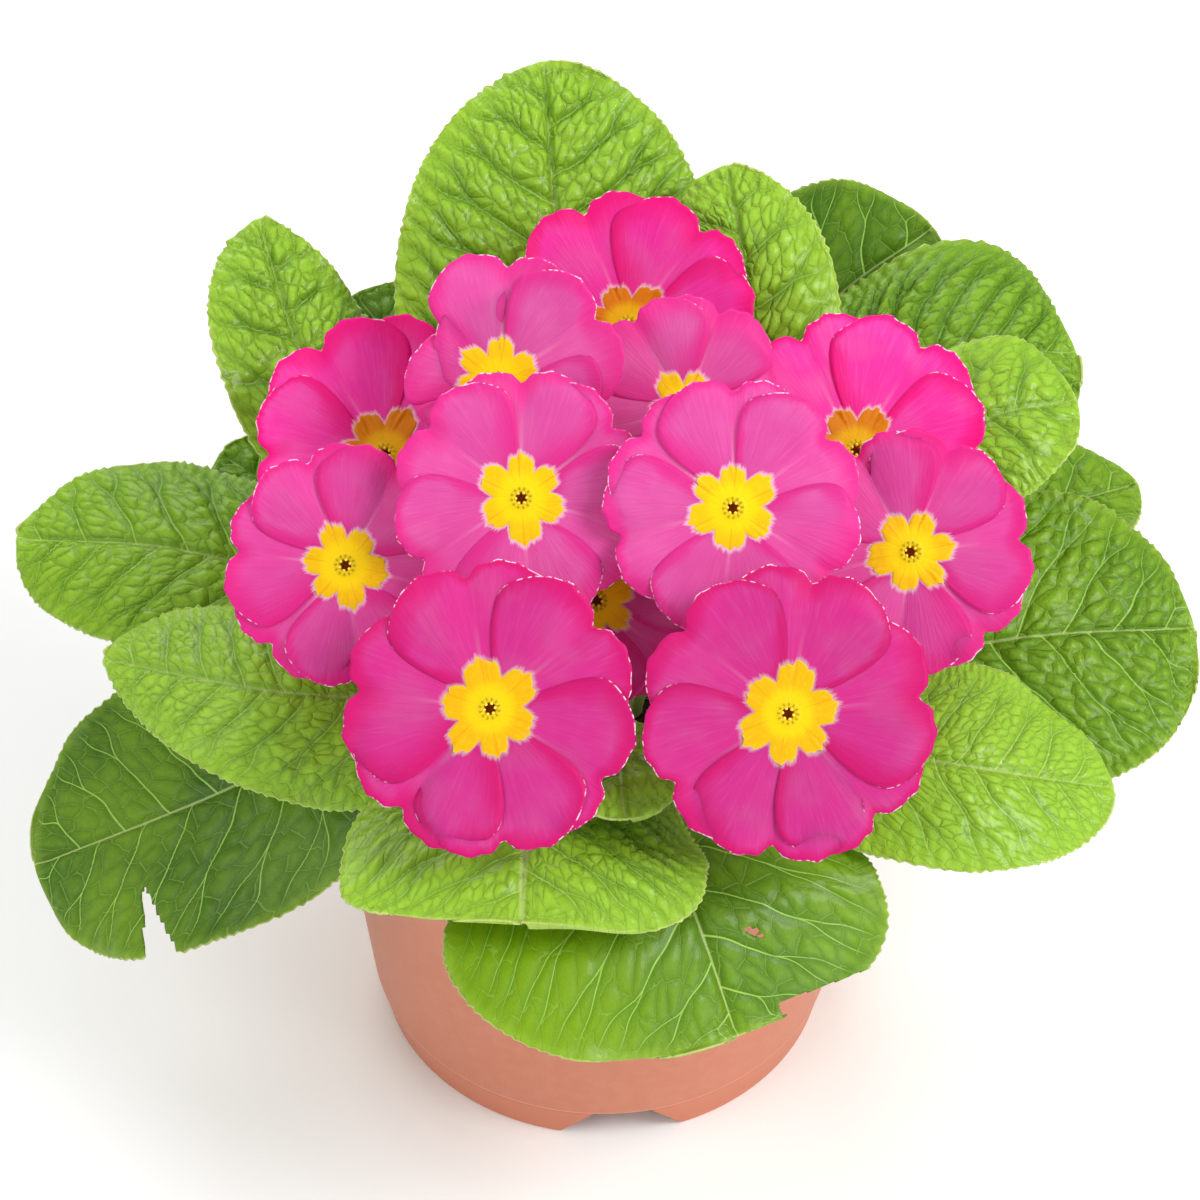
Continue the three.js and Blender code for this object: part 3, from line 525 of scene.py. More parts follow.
def stored(tree, name):
    """A point attribute, in a material or in a geometry node tree."""
    if tree.bl_idname == "GeometryNodeTree":
        made = tree.nodes.new("GeometryNodeInputNamedAttribute")
        made.data_type = "FLOAT_VECTOR"
        made.inputs["Name"].default_value = name
        return made.outputs["Attribute"]
    made = tree.nodes.new("ShaderNodeAttribute")
    made.attribute_name = name
    return made.outputs["Vector"]


def object_place(tree):
    """Object coordinates in millimetres."""
    coordinates = tree.nodes.new("ShaderNodeTexCoord")
    scaled = tree.nodes.new("ShaderNodeVectorMath")
    scaled.operation = "SCALE"
    feed(scaled.inputs[0], coordinates.outputs["Object"])
    scaled.inputs["Scale"].default_value = 1 / MM
    return scaled.outputs[0]


def bump(tree, height, distance, strength=1.0):
    """A normal tilted by a height."""
    made = tree.nodes.new("ShaderNodeBump")
    made.inputs["Distance"].default_value = distance
    made.inputs["Strength"].default_value = strength
    feed(made.inputs["Height"], height)
    return made.outputs["Normal"]


def finish_material(name, paint, **plain):
    """A material: paint(tree) gives the sockets that vary, plain the numbers that don't."""
    material = bpy.data.materials.new(name)
    material.use_nodes = True
    tree = material.node_tree
    shader = tree.nodes["Principled BSDF"]
    for socket, value in plain.items():
        shader.inputs[socket.replace("_", " ")].default_value = value
    for socket, value in paint(tree).items():
        feed(shader.inputs[socket], value)
    return material


def shader_group(name, inputs, outputs, build):
    """A node group with named inputs and outputs. build(tree, inputs) gives the outputs by name."""
    tree = bpy.data.node_groups.new(name, "ShaderNodeTree")
    for socket, kind in inputs.items():
        tree.interface.new_socket(socket, in_out="INPUT", socket_type=kind)
    for socket, kind in outputs.items():
        tree.interface.new_socket(socket, in_out="OUTPUT", socket_type=kind)
    entry = tree.nodes.new("NodeGroupInput")
    leave = tree.nodes.new("NodeGroupOutput")
    for socket, value in build(tree, entry.outputs).items():
        feed(leave.inputs[socket], value)
    return tree


def use_group(tree, group, **inputs):
    """A node group's outputs for the given inputs."""
    made = tree.nodes.new("ShaderNodeGroup")
    made.node_tree = group
    for socket, value in inputs.items():
        feed(made.inputs[socket.replace("_", " ")], value)
    return made.outputs


# ------------------------------------------------------------------ leaves
BLADE = {"broadest": 0.56, "rise": 0.9, "blunt": 2.0}
STEM_HALF = 2.1
TIP_HALF = 1.3
# The share of the midrib's spline that is stem.
STEM_PART = 0.5
RIDGE_STEP = 2.1
TOOTH_STEP = 1.8
TOOTH_HEIGHT = 0.3
# How the side veins run: how steeply they rise from the midrib, how far they bow and how far they sway.
SIDE_VEINS = {"slant": 0.62, "bow": 0.006, "sway": 3.0}
OLD_LEAVES = {3, 4, 6, 7, 10, 11, 12, 14, 16}
# What each point of a blade stores for its pattern, and what the pattern gives.
LEAF_VALUES = ("place", "margin", "trait", "vein")
LEAF_GROUP_OUTPUTS = ("Height", "Rib", "Thread", "Net", "DomeLight", "Edge", "Old", "Side", "GrooveShade", "Share")


def midrib(leaf, t):
    """Points of the midrib's spline at t, from 0 in the soil through 0.5 at the neck to 1."""
    foot = polar(*leaf["foot"], CROWN["stem_foot"])
    collar = polar(*leaf["foot"], CROWN["collar"])
    knots = np.array([foot, collar, leaf["neck"], leaf["mid"], leaf["tip"]], float)
    padded = np.vstack([2 * knots[0] - knots[1], knots, 2 * knots[-1] - knots[-2]])
    spans = len(knots) - 1
    place = np.clip(t, 0, 1) * spans
    first = np.minimum(place.astype(int), spans - 1)
    w = (place - first)[:, None]
    before, start, end, after = (padded[first + k] for k in range(4))
    leave, arrive = 0.5 * (end - before), 0.5 * (after - start)
    return (
        (2 * w**3 - 3 * w**2 + 1) * start
        + (w**3 - 2 * w**2 + w) * leave
        + (3 * w**2 - 2 * w**3) * end
        + (w**3 - w**2) * arrive
    )


def blade_reach(leaf, q, side):
    """How far the left or right side of the blade reaches, q of the way from the neck to the tip."""
    shape = {"half": leaf["width"] / 2, **BLADE, **leaf.get(side, {})}
    low = np.clip(q / shape["broadest"], 0, 1)
    high = np.clip((q - shape["broadest"]) / (1 - shape["broadest"]), 0, 1)
    rise = np.sin(math.pi / 2 * low) ** shape["rise"]
    end = np.maximum(0, 1 - high ** shape["blunt"]) ** (1 / shape["blunt"])
    blade = np.maximum(shape["half"] * rise * end, np.where(q > 0.5, TIP_HALF, 0))
    return np.hypot(STEM_HALF * (1 - q), blade)


def leaf_frames(leaf, t):
    """Middle, side and up of the blade at each t."""
    step = 1e-4
    middle = midrib(leaf, t)
    tangent = unit(midrib(leaf, np.minimum(t + step, 1)) - midrib(leaf, np.maximum(t - step, 0)))
    line = unit(np.array(leaf["tip"], float) - np.array(leaf["neck"], float))
    above = unit(np.array([0.0, 0.0, 1.0]) - line * line[2])
    inward = polar(leaf["foot"][0], -1, 0)
    up = inward + (above - inward) * smooth(t, 0.1, 0.6)[:, None]
    up = unit(up - (up * tangent).sum(-1, keepdims=True) * tangent)
    q = np.clip(2 * t - 1, 0, 1)
    up = turned(up, tangent, math.radians(leaf["roll"]) * smooth(q, 0, 0.4))
    side = unit(np.cross(tangent, up))
    return middle, side, up


def leaf_rows(leaf, grain):
    """Rows along the leaf, spaced evenly along its margin and more widely on the stem."""
    t = np.concatenate([np.linspace(0, 0.9, 900), 1 - 0.1 * np.linspace(1, 0, 500)[1:] ** 3])
    middle = midrib(leaf, t)
    q = np.clip(2 * t - 1, 0, 1)
    widening = np.abs([np.diff(blade_reach(leaf, q, side)) for side in ("left", "right")]).mean(0)
    run = np.linalg.norm(np.diff(middle, axis=0), axis=1)
    step = np.hypot(run, widening) * np.where(t[1:] < STEM_PART, 0.3, 1.0)
    total = np.concatenate([[0], np.cumsum(step)])
    count = int(total[-1] / grain)
    return np.interp(np.linspace(0, total[-1], count), total, t)


def tooth_wave(arc, seed):
    """Fine uneven teeth along the margin, from -1 to 1."""
    phase = arc / TOOTH_STEP + 0.35 * np.sin(arc / 5.1 + seed) + 0.2 * np.sin(arc / 2.3 + 2 * seed)
    saw = 2 * (phase - np.floor(phase))
    return np.where(saw < 1.3, saw / 1.3, (2 - saw) / 0.7) * 2 - 1


def leaf_sheet(leaf, index, grain, stem_thickness, blade_thickness):
    """The leaf's upper side as a grid, with what its pattern stores and how thick it is at each point."""
    t = leaf_rows(leaf, grain)
    q = np.clip(2 * t - 1, 0, 1)
    middle, side, up = leaf_frames(leaf, t)
    left, right = blade_reach(leaf, q, "left"), blade_reach(leaf, q, "right")
    columns = 2 * max(8, int((left.max() + right.max()) / 2 / (grain * 1.15))) + 1
    c = np.linspace(-1, 1, columns)[None, :]
    half = np.where(c > 0, right[:, None], left[:, None])
    edge = np.abs(c)
    spread = smooth(q, 0.02, 0.3)[:, None]
    neck_length = lengths_along(middle)
    along = neck_length - np.interp(STEM_PART, t, neck_length)
    seed = float(index)

    arcs = [lengths_along(np.column_stack([along, reach])) for reach in (left, right)]
    margin_arc = np.where(c > 0, arcs[1][:, None], arcs[0][:, None])
    teeth = np.where(c > 0, tooth_wave(arcs[1], seed + 5)[:, None], tooth_wave(arcs[0], seed + 1)[:, None])
    bend = leaf["fold"] * edge + leaf["curl"] * edge**2
    phase = 9 * q[:, None] + np.where(c > 0, 0, 2)
    ripple = leaf["wave"] * edge**3 * np.sin(phase) * spread
    crinkle = 0.5 * edge**6 * np.sin(margin_arc / 3.1 + np.where(c > 0, 0, 1.7) + seed) * spread
    lift = half * bend * spread + ripple + crinkle
    reach = half * c * (1 - 0.4 * bend**2 * spread)
    tooth = teeth * TOOTH_HEIGHT * smooth(edge, 0.93, 1.0)
    tip_fade = smooth(1.02 - q[:, None], 0.0, 0.05)
    reach = reach + np.sign(c) * tooth * spread * tip_fade
    points = middle[:, None, :] + side[:, None, :] * reach[..., None] + up[:, None, :] * lift[..., None]

    across = half * c
    flat = np.stack([across, np.broadcast_to(along[:, None], across.shape)], -1).reshape(-1, 2)
    far = np.column_stack([across[-1], np.full(columns, along[-1])])
    left_side = np.column_stack([-left, along])[:-1]
    right_side = np.column_stack([right, along])[-2::-1]
    rim = np.vstack([left_side, far, right_side])
    distance, nearest = nearest_on(rim, flat)
    arc = lengths_along(rim)[nearest]
    place = np.column_stack([flat, np.full(len(flat), seed)])
    margin = np.column_stack([distance, arc, np.repeat(q, columns)])
    stem = stem_thickness * np.sqrt(1 - 0.75 * edge**2)
    keel = 1.5 * (1 - q[:, None]) * np.exp(-((across / 1.2) ** 2))
    thick = stem * (1 - spread) + (blade_thickness + keel) * spread
    return points, place, margin, thick


def inside(corners, points):
    """Which flat points lie inside a triangle or polygon."""
    hit = np.zeros(len(points), bool)
    for (x1, y1), (x2, y2) in zip(corners, np.roll(corners, -1, axis=0)):
        crosses = (y1 > points[:, 1]) != (y2 > points[:, 1])
        with np.errstate(divide="ignore", invalid="ignore"):
            at = (x2 - x1) * (points[:, 1] - y1) / (y2 - y1) + x1
        hit ^= crosses & (points[:, 0] < at)
    return hit


def cut_tear(piece, leaf, corners, place):
    """Takes a tear's faces out of a blade and pulls the points beside it onto its edges."""
    mid, neck, tip = (np.array(leaf[k], float) for k in ("mid", "neck", "tip"))
    length = np.linalg.norm(mid - neck) + np.linalg.norm(mid - tip)
    scale = place[:, 1].max() / length
    outline = np.array([(out, q * length * scale) for q, out in corners])
    hit = inside(outline, place[:, :2])
    mesh = piece.data
    doomed = [f.index for f in mesh.polygons if all(hit[v] for v in f.vertices)]
    kept = {v for f in mesh.polygons if not all(hit[v] for v in f.vertices) for v in f.vertices}
    points = read_rows(mesh.vertices, "co")
    for v in [v for v in kept if hit[v]]:
        flat = place[v, :2]
        best = None
        for start, end in zip(outline, np.roll(outline, -1, axis=0)):
            line = end - start
            share = np.clip(np.dot(flat - start, line) / np.dot(line, line), 0, 1)
            gap = start + line * share - flat
            if best is None or np.dot(gap, gap) < np.dot(best, best):
                best = gap
        near = [w for w in (v - 1, v + 1) if 0 <= w < len(place)]
        other = max(near, key=lambda w: abs(place[w, 0] - flat[0]))
        span = place[other, 0] - flat[0]
        if abs(span) > 1e-6:
            points[v] += (points[other] - points[v]) * np.clip(best[0] / span, -1, 1)
    mesh.vertices.foreach_set("co", points.ravel())
    only(piece)
    bpy.context.tool_settings.mesh_select_mode = (False, False, True)
    bpy.ops.object.mode_set(mode="EDIT")
    bpy.ops.mesh.select_all(action="DESELECT")
    bpy.ops.object.mode_set(mode="OBJECT")
    for index in doomed:
        mesh.polygons[index].select = True
    bpy.ops.object.mode_set(mode="EDIT")
    bpy.ops.mesh.delete(type="FACE")
    bpy.ops.object.mode_set(mode="OBJECT")
    bpy.context.tool_settings.mesh_select_mode = (True, False, False)


def bell(distance, width):
    """1 at no distance, falling off as a bell of the given width."""
    share = distance / width
    return (share * share * -1).math("EXPONENT")


def swell(distance, width):
    """0 at a groove, rising in a round shoulder to 1 at the given distance from it."""
    left = 1 - (distance / width).least(1.0)
    return 1 - left * left


def leaf_pattern(tree, place, margin, trait, vein):
    """Veins and quilting at each point of a blade: its height in mm and masks for its colours, among them
    painted shade in the grooves and painted light on the domes.
    """
    across, along, seed = split(tree, place)
    edge, arc, q = split(tree, margin)
    cell, relief, old = split(tree, trait)
    gap, rib_width, pillow = split(tree, vein)
    out = abs(across)
    share = out / (out + edge + 0.01)
    side = across.math("SIGN")
    shifted = combine(tree, across + seed * 31, along + seed * 17)
    sway = cloud(tree, shifted, 0.09, detail=1.0, dimensions="2D") - 0.5
    jitter = cloud(tree, shifted, 0.45, detail=1.0, dimensions="2D") - 0.5
    rise = along - out * SIDE_VEINS["slant"] - out * out * SIDE_VEINS["bow"]
    level = rise + sway * SIDE_VEINS["sway"] + side * gap / 4 + seed * 2.3
    turn = (level / gap).fraction() - 0.5
    fork = share.ramp(0.5, 0.85) * 0.25
    lateral = abs(abs(turn) - fork) * gap * 0.8
    net_place = combine(tree, (across + sway * 3 + jitter) / (cell * 0.8) + seed * 3.7,
                        (level + jitter) / (cell * 1.15))
    net = cells(tree, net_place) * cell
    draw = cells(tree, net_place, feature="F1", output="Color")
    small_place = combine(tree, (across + jitter) / 1.5 + seed * 5.1, (along + jitter) / 1.5)
    small = cells(tree, small_place) * 1.5
    blade = along.ramp(1, 9)
    low = out.least(lateral).least(net)
    dome = swell(low, cell * 0.42)
    crumple = swell(small.least(low), 0.5)
    broad = swell((out + 0.6).least(lateral), gap * 0.22)
    ridge = (arc * (2 * math.pi / RIDGE_STEP) + sway * 9).sine() * 0.5 + 0.5
    near_edge = edge.fade(2.0, 7.5)
    quilt = dome * (0.36 + draw * 0.6) + broad * pillow + crumple * dome * 0.12
    quilt = quilt * (1 - near_edge * 0.7) + ridge * near_edge * 0.4
    height = (quilt * relief * 1.15 - bell(out, 1.0) * 0.5 - 0.42) * blade * q.fade(0.965, 0.995)
    rib = (out / (rib_width * (1 - q * 0.7))).fade(0.35, 0.7)
    thread = (lateral / (0.3 - share * 0.17)).fade(0.3, 0.8) * share.fade(0.8, 1.0) * blade
    mesh_line = (net / 0.2).fade(0.15, 0.9) * blade
    # Painted shade: a mask that darkens the blade's colour in the grooves along the side veins, the net and
    # beside the midrib; it doesn't move the surface.
    groove_shade = (bell(lateral, 0.95) * share.ramp(0.02, 0.2)).most(bell(net, 0.5) * 0.18) * blade
    groove_shade = groove_shade.most(bell(out - rib_width, 0.5) * 0.6 * blade)
    # The dome output (dome times broad) only masks painted light on the tops of the domes and swells.
    return dict(Height=height, Rib=rib, Thread=thread, Net=mesh_line, DomeLight=dome * broad, Edge=edge,
                Old=old, Side=(across / 30).ramp(0.0, 1.0), GrooveShade=groove_shade * (1 - near_edge * 0.6),
                Share=share)


def relief_tree():
    """Geometry nodes that raise the quilting along each point's normal."""
    tree = bpy.data.node_groups.new("Blade relief", "GeometryNodeTree")
    tree.interface.new_socket("Geometry", in_out="INPUT", socket_type="NodeSocketGeometry")
    tree.interface.new_socket("Geometry", in_out="OUTPUT", socket_type="NodeSocketGeometry")
    entry = tree.nodes.new("NodeGroupInput")
    leave = tree.nodes.new("NodeGroupOutput")
    pattern = leaf_pattern(tree, *(stored(tree, name) for name in LEAF_VALUES))
    move = tree.nodes.new("GeometryNodeSetPosition")
    normal = tree.nodes.new("GeometryNodeInputNormal")
    scaled = tree.nodes.new("ShaderNodeVectorMath")
    scaled.operation = "SCALE"
    feed(scaled.inputs[0], normal.outputs[0])
    feed(scaled.inputs["Scale"], pattern["Height"] * MM)
    feed(move.inputs["Geometry"], entry.outputs[0])
    feed(move.inputs["Offset"], scaled.outputs[0])
    feed(leave.inputs[0], move.outputs[0])
    return tree


def leaf_group():
    """The leaf pattern as a shader node group, for both ages of leaf."""
    vectors = {name.title(): "NodeSocketVector" for name in LEAF_VALUES}
    floats = {name: "NodeSocketFloat" for name in LEAF_GROUP_OUTPUTS}
    return shader_group(
        "Leaf pattern", vectors, floats,
        lambda tree, given: leaf_pattern(tree, *(given[name.title()] for name in LEAF_VALUES)))


def leaf_material(name, group, light, dark, roughness, shine):
    """Green blade with painted shade in the grooves between its domes, painted light on the domes' tops, pale
    veins and a cream margin.
    """

    def paint(tree):
        given = {name.title(): stored(tree, name) for name in LEAF_VALUES}
        pale, yellow, _ = split(tree, stored(tree, "tone"))
        out = use_group(tree, group, **given)
        rib, thread, net, dome = (Wire(out[n]) for n in ("Rib", "Thread", "Net", "DomeLight"))
        edge, old, groove_shade = (Wire(out[n]) for n in ("Edge", "Old", "GrooveShade"))
        share = Wire(out["Share"])
        place = object_place(tree)
        patch = cloud(tree, place, 0.05, detail=3.0)
        fleck = cloud(tree, place, 0.8, detail=3.0, roughness=0.6)
        # Young to old green by the blade's old value: partly its age, partly painted light and shade for the
        # whole blade.
        base = mix(tree, old, light, dark)
        base = layers(
            tree, base,
            (patch.ramp(0.35, 0.7) * 0.3, srgb(142, 182, 14)),
            # Painted light: the tops of the domes lighter, as where light falls on them.
            (dome * (1 - old * 0.6) * 0.45, srgb(158, 204, 54)),
            (fleck.ramp(0.45, 0.8) * 0.12, srgb(160, 200, 60)),
            (yellow * Wire(out["Side"]), srgb(120, 158, 4)),
            # Painted shade darkening the grooves.
            (groove_shade * (0.66 - pale * 0.5), srgb(60, 116, 8)),
        )
        vein = mix(tree, old * 0.4, srgb(178, 212, 96), srgb(146, 194, 74))
        lines = (thread * 0.9).most(net * 0.3) * (pale + 0.15 + share.fade(0.2, 0.6) * 0.3).least(1.0)
        base = layers(
            tree, base,
            (lines, vein),
            (rib * (pale * 0.3 + 0.5), srgb(184, 206, 120)),
            (edge.fade(0.0, 2.5) * 0.25, srgb(172, 206, 70)),
            (edge.fade(0.08, 0.35) * 0.5, srgb(210, 218, 140)),
        )
        fine = cloud(tree, place, 2.2, detail=3.0, roughness=0.65)
        dull = roughness + (fine - 0.5) * 0.25 + (thread + rib) * 0.15
        relief = fine * 0.35 + Wire(out["Height"]) * 0.8 - net * 0.2
        return {"Base Color": base, "Roughness": dull, "Normal": bump(tree, relief, 0.45 * MM, 0.9)}

    return finish_material(
        name, paint, Subsurface_Weight=0.1, Subsurface_Radius=(0.8, 1.0, 0.3), Subsurface_Scale=MM,
        IOR=1.45, Coat_Weight=shine, Coat_Roughness=0.16, Specular_IOR_Level=shine)


class PRIMROSE_OT_leaves(bpy.types.Operator):
    """Make the seventeen quilted, toothed leaves"""

    bl_idname = "primrose.leaves"
    bl_label = "Leaves"

    def execute(self, context):
        settings = context.scene.primrose_leaves
        group = leaf_group()
        relief = relief_tree()
        young, old = tuple(settings.young), tuple(settings.old)
        paints = {
            "young_leaf": leaf_material("Young leaf", group, young, old, 0.38, 0.24),
            "old_leaf": leaf_material("Old leaf", group, young, old, 0.32, 0.16),
        }
        for index, plain in enumerate(LEAVES):
            leaf = {**LEAF_PLAIN, **plain}
            node = f"leaf_{index + 1:02d}"
            points, place, margin, thick = leaf_sheet(
                leaf, index, settings.grain / MM, settings.stem / MM, settings.thickness / MM)
            piece = grid(f"primrose_{node}", points)
            attribute(piece, "place", place)
            attribute(piece, "margin", margin)
            attribute_all(piece, "trait", leaf["cell"], leaf["relief"], leaf["old"])
            attribute_all(piece, "vein", leaf["gap"], leaf["rib"], leaf["pillow"])
            attribute_all(piece, "tone", leaf["pale"], leaf["yellow"], 0.0)
            body = piece.vertex_groups.new(name="body")
            for vertex, weight in enumerate(thick.ravel() * MM / settings.stem):
                body.add([vertex], float(weight), "REPLACE")
            for corners in leaf["tears"]:
                cut_tear(piece, leaf, corners, place)
                place = read_rows(piece.data.attributes["place"].data, "vector")
            modify(piece, "NODES", node_group=relief)
            modify(piece, "SOLIDIFY", thickness=settings.stem, offset=-1.0, vertex_group="body",
                   use_even_offset=False)
            slot = "old_leaf" if index + 1 in OLD_LEAVES else "young_leaf"
            hand_over(piece, node, paints[slot])
        return {"FINISHED"}


# ------------------------------------------------------------------ blooms
PETAL_FOOT = 2.1
FOOT_HALF = 1.3
# The star's reach as a share of the bloom's, from the middle of a lobe to the notch beside it.
STAR = {"share": (0.0, 0.25, 0.5, 0.66, 0.82, 0.92, 1.0),
        "reach": (0.33, 0.327, 0.325, 0.314, 0.268, 0.24, 0.22)}
# Radius and height of the tube behind a star, from its closed end, and of the throat down from the star.
TUBE_RADIUS = 2.1
TUBE_RINGS = ((0.0, -11.0), (0.8, -11.0), (1.3, -9.5), (1.7, -6.0), (2.0, -2.0))
THROAT_RINGS = ((1.85, 0.1), (1.6, 0.14), (1.35, 0.1), (1.15, -0.1), (1.05, -0.5), (1.0, -1.2),
                (0.95, -2.5), (0.0, -2.5))
# Where the star's skin has rings, as shares of the way from the tube to its rim: below and above.
STAR_BELOW = (0.0, 0.5, 0.9, 1.0)
STAR_ABOVE = (1.0, 0.985, 0.95, 0.88, 0.8, 0.7, 0.6, 0.5, 0.4, 0.3, 0.2, 0.1, 0.0)
TEETH = 5
CALYX = {"top": 1.2, "length": 13.5, "rib": 0.45, "tooth": 2.6}
STALK = {"radius": 1.15, "rise": 52.0, "nod": 20.0, "hairs": 420, "hair": 0.9}


def all_blooms():
    """The blooms, with plain values where a bloom names none."""
    return [{**BLOOM_PLAIN, **bloom} for bloom in BLOOMS]


def bloom_frame(bloom):
    """Axes and place of a bloom: Z looks the way it faces and X turns with its spin."""
    turn, rise = (math.radians(a) for a in bloom["face"])
    out = np.array([math.cos(rise) * math.cos(turn), math.cos(rise) * math.sin(turn), math.sin(rise)])
    top = unit(np.array([0, 0, 1.0]) - out * out[2])
    right = np.cross(top, out)
    spin = math.radians(bloom["spin"])
    across = right * math.cos(spin) + top * math.sin(spin)
    upward = top * math.cos(spin) - right * math.sin(spin)
    return np.array([across, upward, out]), np.array(bloom["at"], float)


def to_world(bloom, points):
    """Points of a bloom's own frame as places on the plant."""
    axes, at = bloom_frame(bloom)
    return points @ axes + at


def petal_end(c):
    """The petal's reach across its end: a notch in the middle and round shoulders."""
    crinkle = 0.008 * np.sin(11 * c + 1) + 0.006 * np.sin(23 * c)
    return 1 - 0.095 * np.exp(-((c / 0.12) ** 2)) - 0.17 * np.abs(c) ** 4 + crinkle


def petal_turn(bloom, index):
    """The turn of a petal, and of its part of the star, round the bloom."""
    return math.radians(360 * index / PETALS + bloom["drift"][index % PETALS])


def petal_radius(bloom, index):
    """A petal's reach, shorter where it hangs low or is crowded."""
    turn = petal_turn(bloom, index)
    low = max(0, -math.sin(turn + math.radians(bloom["spin"])))
    trim = bloom["trim"][index % PETALS]
    return bloom["radius"] * (1 - bloom["tuck"] * low - trim)


def petal_flat(bloom, radius, c, p):
    """Where a petal's point lies in its own plane, with X along the petal."""
    x = PETAL_FOOT + (radius * petal_end(c) - PETAL_FOOT) * p
    broad = bloom["radius"] * 0.61 - FOOT_HALF
    swell = np.sin(math.pi / 2 * np.minimum(1, 1.3 * p))
    trim = 1 - 0.17 * (np.clip(p - 0.6, 0, None) / 0.4) ** 2
    y = c * (FOOT_HALF + broad * swell * trim)
    return x, y


def petal_height(bloom, radius, c, p, over, under, lap, seed):
    """How high a petal's point stands over the bloom's plane."""
    x, y = petal_flat(bloom, radius, c, p)
    reach = np.hypot(x, y)
    cup = bloom["cup"] * bloom["radius"] * (reach / bloom["radius"]) ** 1.7
    sides = lap * smooth(p, 0.0, 0.4) * np.where(c > 0, over * c, under * c)
    crease = -0.35 * p * np.exp(-((c / 0.16) ** 2))
    puff = 0.55 * smooth(p, 0.1, 0.7) * np.sin(math.pi * np.abs(c)) * (1 - 0.5 * p)
    ruffle = 0.4 * smooth(p, 0.55, 1.0) * np.sin(5.2 * c + 1.7 * seed) * np.sin(2.1 * seed + 2 * c)
    droop = -0.9 * smooth(p, 0.75, 1.0) * (0.4 + 0.6 * np.sin(1.3 * seed + 1))
    return cup + sides + crease + puff + ruffle + droop


def petal_sides(bloom, index):
    """Whether this petal lies over (1) or under (-1) its neighbour on either side."""
    side = [1 if mark == "+" else -1 for mark in bloom["laps"]]
    return side[index % PETALS], side[(index - 1) % PETALS]


def petals_top(bloom, number, x, y, lap):
    """Height of the uppermost petal under flat points near the eye."""
    best = np.full(x.shape, -1e3)
    for index in range(PETALS):
        turn = petal_turn(bloom, index)
        u = np.maximum(x * math.cos(turn) + y * math.sin(turn), PETAL_FOOT)
        v = -x * math.sin(turn) + y * math.cos(turn)
        radius = petal_radius(bloom, index)
        over, under = petal_sides(bloom, index)
        c = np.zeros_like(x)
        for _ in range(14):
            p = np.clip((u - PETAL_FOOT) / (radius * petal_end(c) - PETAL_FOOT), 0, 1)
            half = petal_flat(bloom, radius, np.ones_like(c), p)[1]
            c = np.clip(v / half, -1.3, 1.3)
        seed = number * 7 + index
        high = petal_height(bloom, radius, np.clip(c, -1, 1), p, over, under, lap, seed)
        facing = x * math.cos(turn) + y * math.sin(turn) > -0.5
        best = np.where((np.abs(c) <= 1) & facing, np.maximum(best, high), best)
    return np.where(best < -100, 0.0, best)


def make_petals(bloom, number, settings):
    """Six lapping petals, each a notched sheet."""
    pieces = []
    lap = settings.lap / MM
    c = np.linspace(1, -1, 31)[None, :]
    p = (np.linspace(0, 1, 27) ** 0.9)[:, None]
    c, p = np.broadcast_arrays(c, p)
    for index in range(PETALS):
        over, under = petal_sides(bloom, index)
        radius = petal_radius(bloom, index)
        seed = number * 7 + index
        x, y = petal_flat(bloom, radius, c, p)
        z = petal_height(bloom, radius, c, p, over, under, lap, seed)
        turn = petal_turn(bloom, index)
        flat_x = x * math.cos(turn) - y * math.sin(turn)
        flat_y = x * math.sin(turn) + y * math.cos(turn)
        points = to_world(bloom, np.stack([flat_x, flat_y, z], -1).reshape(-1, 3))
        piece = grid(f"petal_{index}", points.reshape(*x.shape, 3))
        rim = np.vstack([
            np.column_stack([x[:, 0], y[:, 0]]),
            np.column_stack([x[-1], y[-1]]),
            np.column_stack([x[::-1, -1], y[::-1, -1]]),
        ])
        dense = np.column_stack([np.interp(np.linspace(0, len(rim) - 1, 500), np.arange(len(rim)), k)
                                 for k in rim.T])
        distance, _ = nearest_on(dense, np.column_stack([x.ravel(), y.ravel()]))
        count = x.size
        attribute(piece, "bloom", np.column_stack([flat_x.ravel(), flat_y.ravel(), np.full(count, seed)]))
        attribute(piece, "petal", np.column_stack([c.ravel(), p.ravel(), distance]))
        past = np.hypot(flat_x, flat_y) - star_reach(bloom, number, np.arctan2(flat_y, flat_x))
        attribute(piece, "hue", np.column_stack([
            np.full(count, bloom["blush"]), past.ravel(), np.full(count, bloom["shade"])]))
        pieces.append(piece)
    whole = join(f"primrose_bloom_{number + 1:02d}_petals", pieces)
    modify(whole, "SOLIDIFY", thickness=settings.thickness, offset=-1.0)
    return whole


def star_reach(bloom, number, turn):
    """How far the yellow star reaches at each turn: one pointed, toothed lobe on each petal."""
    turns = np.array([petal_turn(bloom, index) for index in range(-1, PETALS + 1)])
    gaps = np.diff(turns) / 2
    off = (np.asarray(turn)[..., None] - turns[1:-1] + math.pi) % (2 * math.pi) - math.pi
    own = np.abs(off).argmin(-1)
    away = np.take_along_axis(off, own[..., None], -1)[..., 0]
    share = np.abs(away) / np.where(away > 0, gaps[own + 1], gaps[own])
    draw, other = np.sin(own * 2.4 + number * 1.7), np.sin(own * 4.1 + number * 2.3 + 1)
    lean = np.degrees(away) - 4 * other
    point = (0.03 + 0.012 * draw) * np.exp(-((lean / 5) ** 2)) + 0.018 * draw
    teeth = 0.009 * np.sin(lean * 0.62 + other) * smooth(share, 0.8, 0.5)
    lobe = np.interp(share, STAR["share"], STAR["reach"])
    return (lobe + (point + teeth) * smooth(share, 1.0, 0.5)) * bloom["radius"]


